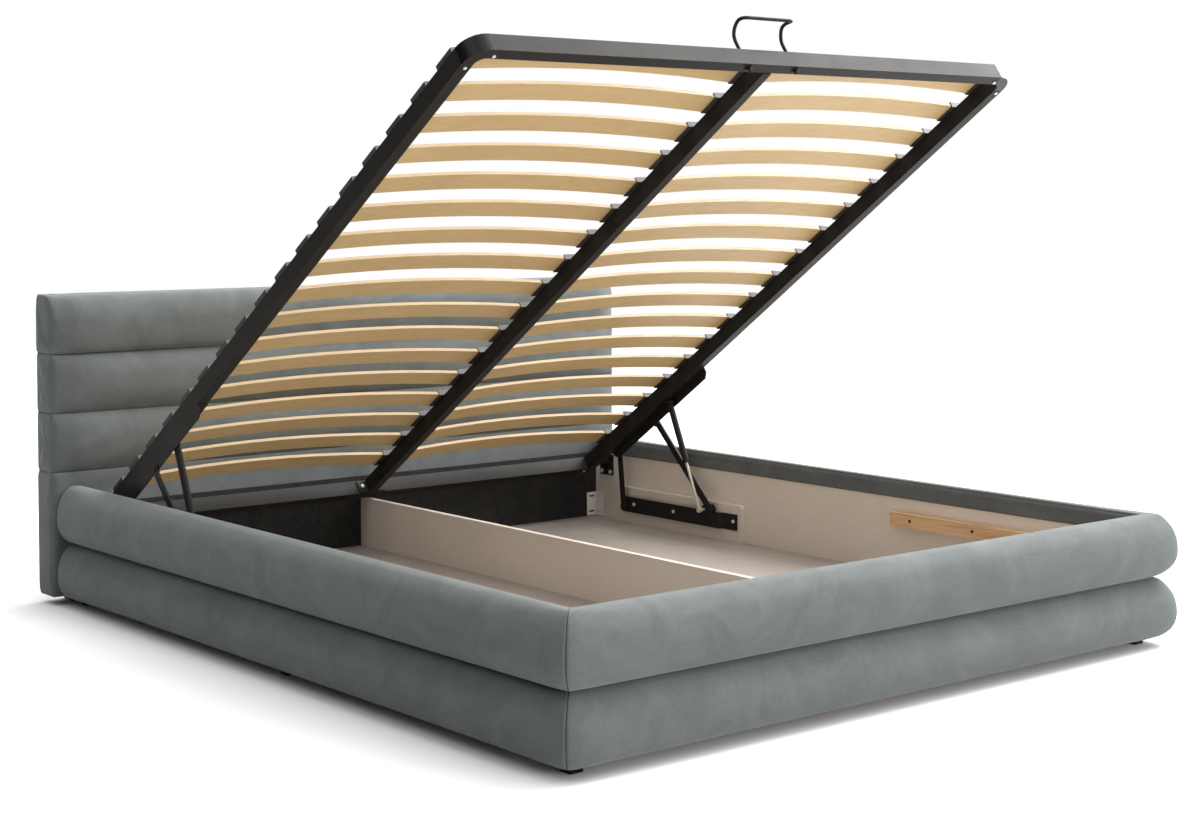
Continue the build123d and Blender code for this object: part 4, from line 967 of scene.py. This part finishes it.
    def _bend(self, level: Level, run: Run, seed: float) -> tuple[np.ndarray, np.ndarray, int]:
        """Lays the section along its run.

        Args:
            level: which tier.
            run: which run.
            seed: shifts the slow swell.

        Returns:
            Points, whether each is held, and the number of points in a section.
        """
        section, held = self._section(level)
        side = run is not Run.FOOT
        full = self.length if side else 2 * self.half_width
        middle_z = section[:, 1].mean()
        points, fixed = [], []
        for place in stations(full, self.seam_places, self.step, not side):
            seam = full - place if side else min(place, full - place)
            head = place if side else None
            slant = eased(max(0.0, 1.0 - seam / self.mitre))
            sign = 1.0 if place > full / 2 else -1.0
            end = seam < self.sewn or (side and place < self.sewn)
            for (out, up), hold in zip(section, held):
                swell = 0.0 if hold or end else sum(
                    size * ripple((place, out, up), wave, seed + shift)
                    for size, wave, shift in self.swells)
                grow = self._draw_in(out, seam, head) + swell * clipped(seam / self.calm)
                pinch = self.corner_pinch.at(seam) * clipped(out / self.pinch_depth)
                rise = up + (middle_z - up) * pinch
                if side and place < self.head_zone and not hold:
                    rise = middle_z + (rise - middle_z) * (1 - self.head_pinch.at(place))
                if side:
                    along = place + slant * grow
                    points.append((self.half_width + grow, self.head_y - along, rise))
                else:
                    across = place - full / 2 + sign * slant * grow
                    points.append((across, self.head_y - self.length - grow, rise))
                fixed.append(bool(hold or end))
        return np.array(points), np.array(fixed), len(section)

    def _tier(self, level: Level, run: Run, seed: float, inflation: Inflation) -> Piece:
        """Builds one run of one tier and blows it up."""
        points, fixed, columns = self._bend(level, run, seed)
        piece = new_piece(f"tier_{level.value}_{run.value}", points,
                          skin_faces(len(points) // columns, columns))
        outward(piece)
        inflation.run(piece, np.flatnonzero(fixed))
        return piece

    def _band(self, finishes: Finishes) -> None:
        """Cover cloth turned in over the boards, with a folded lower edge."""
        inside = self.half_width - self.back - self.board
        foot = self.head_y - (self.length - self.back - self.board)
        head, cut_corner = self.head_y - self.sewn, self.band_corner
        long, short = self.band_counts
        path = np.vstack([
            line((inside, head), (inside, foot + cut_corner), long),
            line((inside - cut_corner, foot), (-inside + cut_corner, foot), short),
            line((-inside, foot + cut_corner), (-inside, head), long),
        ])
        inward = np.repeat([(-1.0, 0.0), (0.0, 1.0), (1.0, 0.0)], (long, short, long), axis=0)
        size, wave = self.band_swell
        points = []
        for place, way in zip(path, inward):
            for depth, height in self.band_profile:
                up = self.band_low + height
                soft = size * ripple((*place, up), wave, self.seeds[2])
                deep = depth + soft if depth > self.glued else depth
                points.append((*(place + way * deep), up))
        piece = new_piece("inner_band_cloth", points,
                          skin_faces(len(path), len(self.band_profile)))
        outward(piece)
        dress(piece, finishes.cloth, "inner_cloth_band")

    def build(self, finishes: Finishes, inflation: Inflation) -> None:
        """Builds and dresses both tiers, then the inner band.

        Args:
            finishes: the bed's materials.
            inflation: the cloth simulation.
        """
        for number, level in enumerate(Level):
            right = self._tier(level, Run.RIGHT, self.seeds[0] + number, inflation)
            left = right.copy()
            left.data = right.data.copy()
            left.name = f"tier_{level.value}_left"
            bpy.context.scene.collection.objects.link(left)
            mirrored = corners(left) * (-1.0, 1.0, 1.0)
            left.data.vertices.foreach_set("co", mirrored.ravel())
            outward(left)
            foot = self._tier(level, Run.FOOT, self.seeds[1] + number, inflation)
            for piece, run in ((right, Run.RIGHT), (left, Run.LEFT), (foot, Run.FOOT)):
                dress_padding(piece, finishes.cloth, f"bolster_{level.value}_{run.value}")
        self._band(finishes)


# Headboard


class Front(Enum):
    """Shapes of the headboard's padded pieces."""

    FLAT = "flat"
    CHANNEL = "channel"
    TOP = "top"


@dataclass
class Headboard:
    """Padded headboard: three crowned channels over a flat panel, and its back cloth."""

    front: float = 993.8
    half_width: float = 931.7
    core_back: float = 90.0
    depth: float = 95.7
    bottom: float = 22.0
    seams: tuple[float, float, float, float] = (340.6, 491.7, 642.9, 794.0)
    seam_gap: float = 0.4
    seam_depth: float = 8.0
    seam_shelf: float = 12.0
    crown: float = 16.0
    slack: float = 3.0
    side_crown: float = 5.0
    side_round: tuple[float, float] = (9.0, 14.0)
    end_fade: float = 78.0
    end_crown: float = 7.0
    panel_crown: tuple[float, float, float] = (1.0, 3.0, 60.0)
    shoulder: tuple[float, float] = (46.0, 72.0)
    back_round: float = 5.0
    fullness: tuple[float, float, float] = (2.1, 2.05, 6.0)
    side_places: tuple[float, ...] = (
        0.0, 1.5, 3.5, 6.5, 10.5, 16.0, 24.0, 33.0, 43.0, 54.0, 66.0, 80.0)
    cap_shares: tuple[float, ...] = (0.06, 0.2, 0.45, 0.7, 0.86, 0.95)
    step: float = 16.0
    swell: tuple[float, float, float] = (0.9, 190.0, 40.0)
    roof_start: float = 6.0
    sewn: float = 0.5
    glued: tuple[float, float] = (7.0, 8.0)
    seeds: tuple[float, float, float, float] = (11.0, 16.0, 21.0, 4.0)
    cloth_gap: float = 0.4
    cloth_turn: float = 4.4
    cloth_sink: float = 2.6
    cloth_inset: float = 8.0
    cloth_grid: tuple[int, int] = (90, 44)
    cloth_hem: tuple[float, float, float] = (1.6, 12.0, 6.0)
    cloth_swell: tuple[float, float, float] = (0.9, 120.0, 60.0)

    def _front_offset(self, edge: float, shape: Front) -> float:
        """How far the front stands before its seam line, at a distance from the side."""
        if shape is Front.FLAT:
            sunk, crown, fade = self.panel_crown
            return self.seam_depth - sunk + crown * min(1.0, edge / fade)
        full = self.crown + self.seam_depth - self.slack
        return self.end_crown + (full - self.end_crown) * eased(min(1.0, edge / self.end_fade))

    def _side_view(self, low: float, high: float, edge: float,
                   shape: Front) -> tuple[np.ndarray, np.ndarray]:
        """Closed section of a piece across the headboard.

        Args:
            low: lower seam.
            high: upper seam.
            edge: distance from the nearer side.
            shape: the piece's shape.

        Returns:
            Points as (y, z), and whether each is held.
        """
        low, high = low + self.seam_gap, high - self.seam_gap
        back = self.front + self.core_back
        valley = self.front + self.seam_depth
        shelf = self.seam_shelf
        round_depth, round_reach = self.side_round
        inward = 1 - min(1.0, edge / round_reach)
        rounding = round_depth * (1 - math.sqrt(1 - inward ** 2))
        face = valley - self._front_offset(edge, shape) + rounding
        channel_power, top_power, flat_power = self.fullness
        if shape is Front.TOP:
            set_back, drop = self.shoulder
            middle, corner = high - drop, self.back_round
            front = [
                quarter((valley, middle), face - valley, middle - low, -90, 15, channel_power),
                quarter((face + set_back, middle), -set_back, high - middle, 0, 15, top_power),
                line((face + set_back + self.roof_start, high), (back - corner, high), 5),
                quarter((back - corner, high - corner), corner, corner, 90, 4)[::-1],
            ]
        else:
            middle = (low + high) / 2
            power = flat_power if shape is Front.FLAT else channel_power
            front = [
                quarter((valley, middle), face - valley, middle - low, -90, 15, power),
                quarter((valley, middle), face - valley, high - middle, 0, 15, power),
                line((valley + shelf, high), (back, high), 6),
            ]
        points = closed_loop([*front, line((back, high - shelf), (back, low), 7),
                              line((back - shelf, low), (valley + shelf, low), 5)])
        out, up = points.T
        glued_back, free_top = self.glued
        held = up < low + self.sewn
        if shape is Front.TOP:
            return points, held | ((out > back - self.sewn) & (up < high - free_top))
        return points, held | (up > high - self.sewn) | (out > back - glued_back)

    def _cap(self, row: np.ndarray, sign: float) -> list[np.ndarray]:
        """Rings that close one side with a low crown, from its middle outward."""
        half = self.half_width - self.side_crown
        middle = (row[:, 1:].min(axis=0) + row[:, 1:].max(axis=0)) / 2
        rings = []
        for share in self.cap_shares:
            ring = row.copy()
            ring[:, 1:] = middle + (row[:, 1:] - middle) * share
            ring[:, 0] = sign * (half + self.side_crown * (1 - share ** 4) ** 0.5)
            rings.append(ring)
        return rings

    def _soft_block(self, name: str, low: float, high: float, shape: Front, seed: float,
                    inflation: Inflation) -> Piece:
        """Builds one channel or the lower panel, with crowned sides.

        Args:
            name: the piece's name.
            low: lower seam.
            high: upper seam.
            shape: the piece's shape.
            seed: shifts the slow swell.
            inflation: the cloth simulation.

        Returns:
            The piece.
        """
        half = self.half_width - self.side_crown
        size, wave, calm = self.swell
        rows, fixed = [], []
        for place in stations(2 * half, self.side_places, self.step, True):
            edge = min(place, 2 * half - place)
            section, held = self._side_view(low, high, edge, shape)
            points = np.column_stack([np.full(len(section), place - half), section])
            if shape is not Front.FLAT:
                for index in np.flatnonzero(~held):
                    swell = size * ripple(points[index], wave, seed)
                    points[index, 1] -= swell * min(1.0, edge / calm)
            rows.append(points)
            fixed.append(held)
        free = [np.zeros(len(rows[0]), dtype=bool)] * len(self.cap_shares)
        rows = self._cap(rows[0], -1.0) + rows + self._cap(rows[-1], 1.0)[::-1]
        piece = new_piece(name, np.vstack(rows), skin_faces(len(rows), len(rows[0])))
        outward(piece)
        if shape is not Front.FLAT:
            inflation.run(piece, np.flatnonzero(np.concatenate(free + fixed + free)))
        return piece

    def _cloth_depth(self, outer: bool, x: float, z: float, rim: float) -> float:
        """How far back one point of the back cloth lies, at a distance from its rim."""
        if not outer:
            return self.front + self.core_back + self.cloth_gap
        last = self.front + self.depth - self.cloth_gap
        if rim < 1.0:
            return last - self.cloth_turn
        rise, hem_at, hem_reach = self.cloth_hem
        size, wave, calm = self.cloth_swell
        hem = rise * math.exp(-((rim - hem_at) / hem_reach) ** 2)
        swell = size * min(1.0, rim / calm) * ripple((x, 0, z), wave, 5.0)
        return last - self.cloth_sink + hem + swell

    def _back_cloth(self, finishes: Finishes) -> None:
        """Lining cloth that is stapled over the back, with a turned edge."""
        half_x, (columns, lines) = self.half_width - self.cloth_inset, self.cloth_grid
        low, high = self.bottom + self.cloth_inset, self.seams[3] - self.cloth_inset
        points, faces = [], []
        for outer in (False, True):
            for row in range(lines + 1):
                for column in range(columns + 1):
                    x = -half_x + 2 * half_x * column / columns
                    z = low + (high - low) * row / lines
                    rim = min(half_x - abs(x), z - low, high - z)
                    points.append((x, self._cloth_depth(outer, x, z, rim), z))
        wide = columns + 1
        size = wide * (lines + 1)
        for row in range(lines):
            for here in range(row * wide, row * wide + columns):
                loop = (here, here + 1, here + wide + 1, here + wide)
                faces.append(tuple(reversed(loop)))
                faces.append(tuple(index + size for index in loop))
        rim = [*range(columns), *(row * wide + columns for row in range(lines)),
               *(lines * wide + column for column in range(columns, 0, -1)),
               *(row * wide for row in range(lines, 0, -1))]
        for here, after in zip(rim, rim[1:] + rim[:1]):
            faces.append((here, after, after + size, here + size))
        piece = new_piece("headboard_back_lining", points, faces)
        outward(piece)
        dress(piece, finishes.felt, "headboard_back_cloth")

    def build(self, finishes: Finishes, inflation: Inflation) -> None:
        """Builds and dresses the padding and the back cloth.

        Args:
            finishes: the bed's materials.
            inflation: the cloth simulation.
        """
        shapes = {"low": Front.CHANNEL, "middle": Front.CHANNEL, "top": Front.TOP}
        for number, (name, shape) in enumerate(shapes.items()):
            piece = self._soft_block(f"channel_{name}", *self.seams[number:number + 2], shape,
                                     self.seeds[number], inflation)
            dress_padding(piece, finishes.cloth, f"headboard_channel_{name}")
        panel = self._soft_block("headboard_panel", self.bottom, self.seams[0], Front.FLAT,
                                 self.seeds[3], inflation)
        dress_padding(panel, finishes.cloth, "headboard_lower_panel")
        self._back_cloth(finishes)


# Rigid pieces that keep the frame's shapes


class CarriedPieces:
    """Gives every node that keeps its shape its finish."""

    def __init__(self, finishes: Finishes) -> None:
        """Lists the nodes of each finish.

        Args:
            finishes: the bed's materials.
        """
        moving = ("base_plate", "front_arm", "rear_arm", "hinge_bracket", "lift_rail",
                  "side_tube", "strut_cylinder")
        self.nodes = [
            (finishes.side_board, ["divider_board", "foot_board", *self._pair("side_board")]),
            (finishes.plate_board, self._pair("reinforcing_plate")),
            (finishes.floor_board, self._pair("floor_panel")),
            (finishes.raw_board, ["floor_battens", "headboard_core"]),
            (finishes.pine, ["platform_ledges"]),
            (finishes.slat, self._pair("slats")),
            (finishes.frame, ["centre_bar", "centre_bar_flanges", "foot_tube", "head_tube",
                              "lift_handle", *self._pair(*moving)]),
            (finishes.bright, ["frame_bolts", "lift_bolts"]),
            (finishes.dark_fixing, ["handle_fixings", "hinge_pins", "ledge_screws"]),
            (finishes.painted, ["corner_brackets"]),
            (finishes.rod, self._pair("strut_rod")),
            (finishes.gloss_plastic, ["feet", "foot_corner_caps", "head_corner_caps"]),
            (finishes.plastic, ["slat_holders_centre", *self._pair("slat_holders")]),
            (finishes.felt, ["rear_lining_panel"]),
        ]

    @staticmethod
    def _pair(*kinds: str) -> list[str]:
        """Names of the left and right node of each kind."""
        return [f"{kind}_{side}" for kind in kinds for side in ("left", "right")]

    def dress(self, nodes: dict[str, Piece]) -> None:
        """Puts the finishes on the frame's objects.

        Args:
            nodes: the frame's objects by name.
        """
        for material, names in self.nodes:
            for name in names:
                piece = nodes[name]
                if not piece.material_slots:
                    piece.data.materials.append(material)
                for slot in piece.material_slots:
                    slot.material = material
                LOG.info("%s: %s", name, material.name)


# Studio


@dataclass(frozen=True)
class SoftLight:
    """Soft rectangular light, with its place, target and size in metres."""

    name: str
    place: Place
    target: Place
    size: tuple[float, float]
    watts: float

    def build(self) -> None:
        """Builds the light, unseen by the camera."""
        light = bpy.data.lights.new(self.name, "AREA")
        light.shape = "RECTANGLE"
        light.size, light.size_y = self.size
        light.energy = self.watts
        holder = bpy.data.objects.new(self.name, light)
        holder.visible_camera = False
        holder.location = self.place
        way = Vector(self.target) - Vector(self.place)
        holder.rotation_euler = way.to_track_quat("-Z", "Y").to_euler()
        bpy.context.scene.collection.objects.link(holder)


@dataclass
class Studio:
    """Pale floor, soft lights, pale surroundings and the photograph's camera."""

    camera_place: Place = (-3.1440, -3.8882, 1.0518)
    pitch: float = 2.8847
    yaw: float = 39.4288
    lens: float = 61.554
    sensor: float = 36.0
    shift: float = -0.10
    surroundings: float = 0.01
    from_above: float = 1.26
    from_right: float = 2.50
    floor_half: float = 9.0
    floor_seen: Colour = (0.95, 0.95, 0.95)
    floor_bounce: Colour = (0.66, 0.66, 0.66)
    lights: tuple[SoftLight, ...] = (
        SoftLight("low_foot", (0.8, -5.5, 1.0), (0.0, -1.0, 0.3), (3.6, 1.4), 118.0),
        SoftLight("high_right", (4.2, -0.6, 4.2), (0.0, 0.0, 0.5), (3.4, 3.4), 420.0),
        SoftLight("top_soft", (0.3, 0.0, 4.8), (0.0, 0.0, 0.0), (3.6, 3.6), 123.0),
        SoftLight("left_fill", (-3.6, -0.6, 4.4), (0.0, 0.0, 0.3), (2.6, 2.6), 18.0),
    )

    def build(self) -> None:
        """Builds the whole studio."""
        self._floor()
        self._world()
        for light in self.lights:
            light.build()
        self._camera()

    def _floor(self) -> None:
        """Pale studio floor, darker for the light that it throws back than for the eye."""
        half = self.floor_half / MM
        floor = new_piece("studio_floor", [(-half, -half, 0), (half, -half, 0), (half, half, 0),
                                           (-half, half, 0)], [(0, 1, 2, 3)])
        material = bpy.data.materials.new("studio_floor")
        material.use_nodes = True
        material.node_tree.nodes.clear()
        graph = Graph(material.node_tree)
        seen, lit = (graph.add("ShaderNodeBsdfDiffuse", {"Color": (*colour, 1.0)})
                     for colour in (self.floor_seen, self.floor_bounce))
        graph.seen_or_lit(seen, lit, "ShaderNodeOutputMaterial")
        floor.data.materials.append(material)

    def _world(self) -> None:
        """White surroundings to look at, and soft light from above and from the right."""
        world = bpy.data.worlds.new("studio")
        bpy.context.scene.world = world
        world.use_nodes = True
        world.node_tree.nodes.clear()
        graph = Graph(world.node_tree)
        strength: Number = self.surroundings
        lobes = (((0.0, 0.0, 1.0), self.from_above), ((0.958, 0.0, 0.287), self.from_right))
        for way, power in lobes:
            where = graph.add("ShaderNodeTexCoord").outputs["Generated"]
            lobe = graph.maths("POWER", graph.maths("MAXIMUM", graph.dot(where, way), 0.0), 2.0)
            strength = graph.maths("ADD", graph.maths("MULTIPLY", lobe, power), strength)
        white = (1.0, 1.0, 1.0, 1.0)
        seen, lit = (graph.add("ShaderNodeBackground", {"Color": white, "Strength": value})
                     for value in (1.0, strength))
        graph.seen_or_lit(seen, lit, "ShaderNodeOutputWorld")

    def _camera(self) -> None:
        """Camera at the photograph's place and angle."""
        camera = bpy.data.cameras.new("photo_camera")
        camera.lens = self.lens
        camera.sensor_width = self.sensor
        camera.sensor_fit = "HORIZONTAL"
        camera.shift_y = self.shift
        camera.clip_end = 60.0
        holder = bpy.data.objects.new("photo_camera", camera)
        holder.location = self.camera_place
        tilt, turn = math.radians(90.0 - self.pitch), math.radians(-self.yaw)
        holder.rotation_euler = Euler((tilt, 0.0, turn), "XYZ")
        scene = bpy.context.scene
        scene.collection.objects.link(holder)
        scene.camera = holder
        scene.view_settings.view_transform = "Standard"
        scene.view_settings.look = "None"


def main() -> None:
    """Builds every part of the scene in order."""
    logging.basicConfig(level=logging.INFO, format="%(name)s %(message)s")
    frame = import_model()
    finishes = Finishes()
    inflation = Inflation()
    CarriedPieces(finishes).dress(frame["nodes"])
    BasePadding().build(finishes, inflation)
    Headboard().build(finishes, inflation)
    Studio().build()


if __name__ == "__main__":
    main()
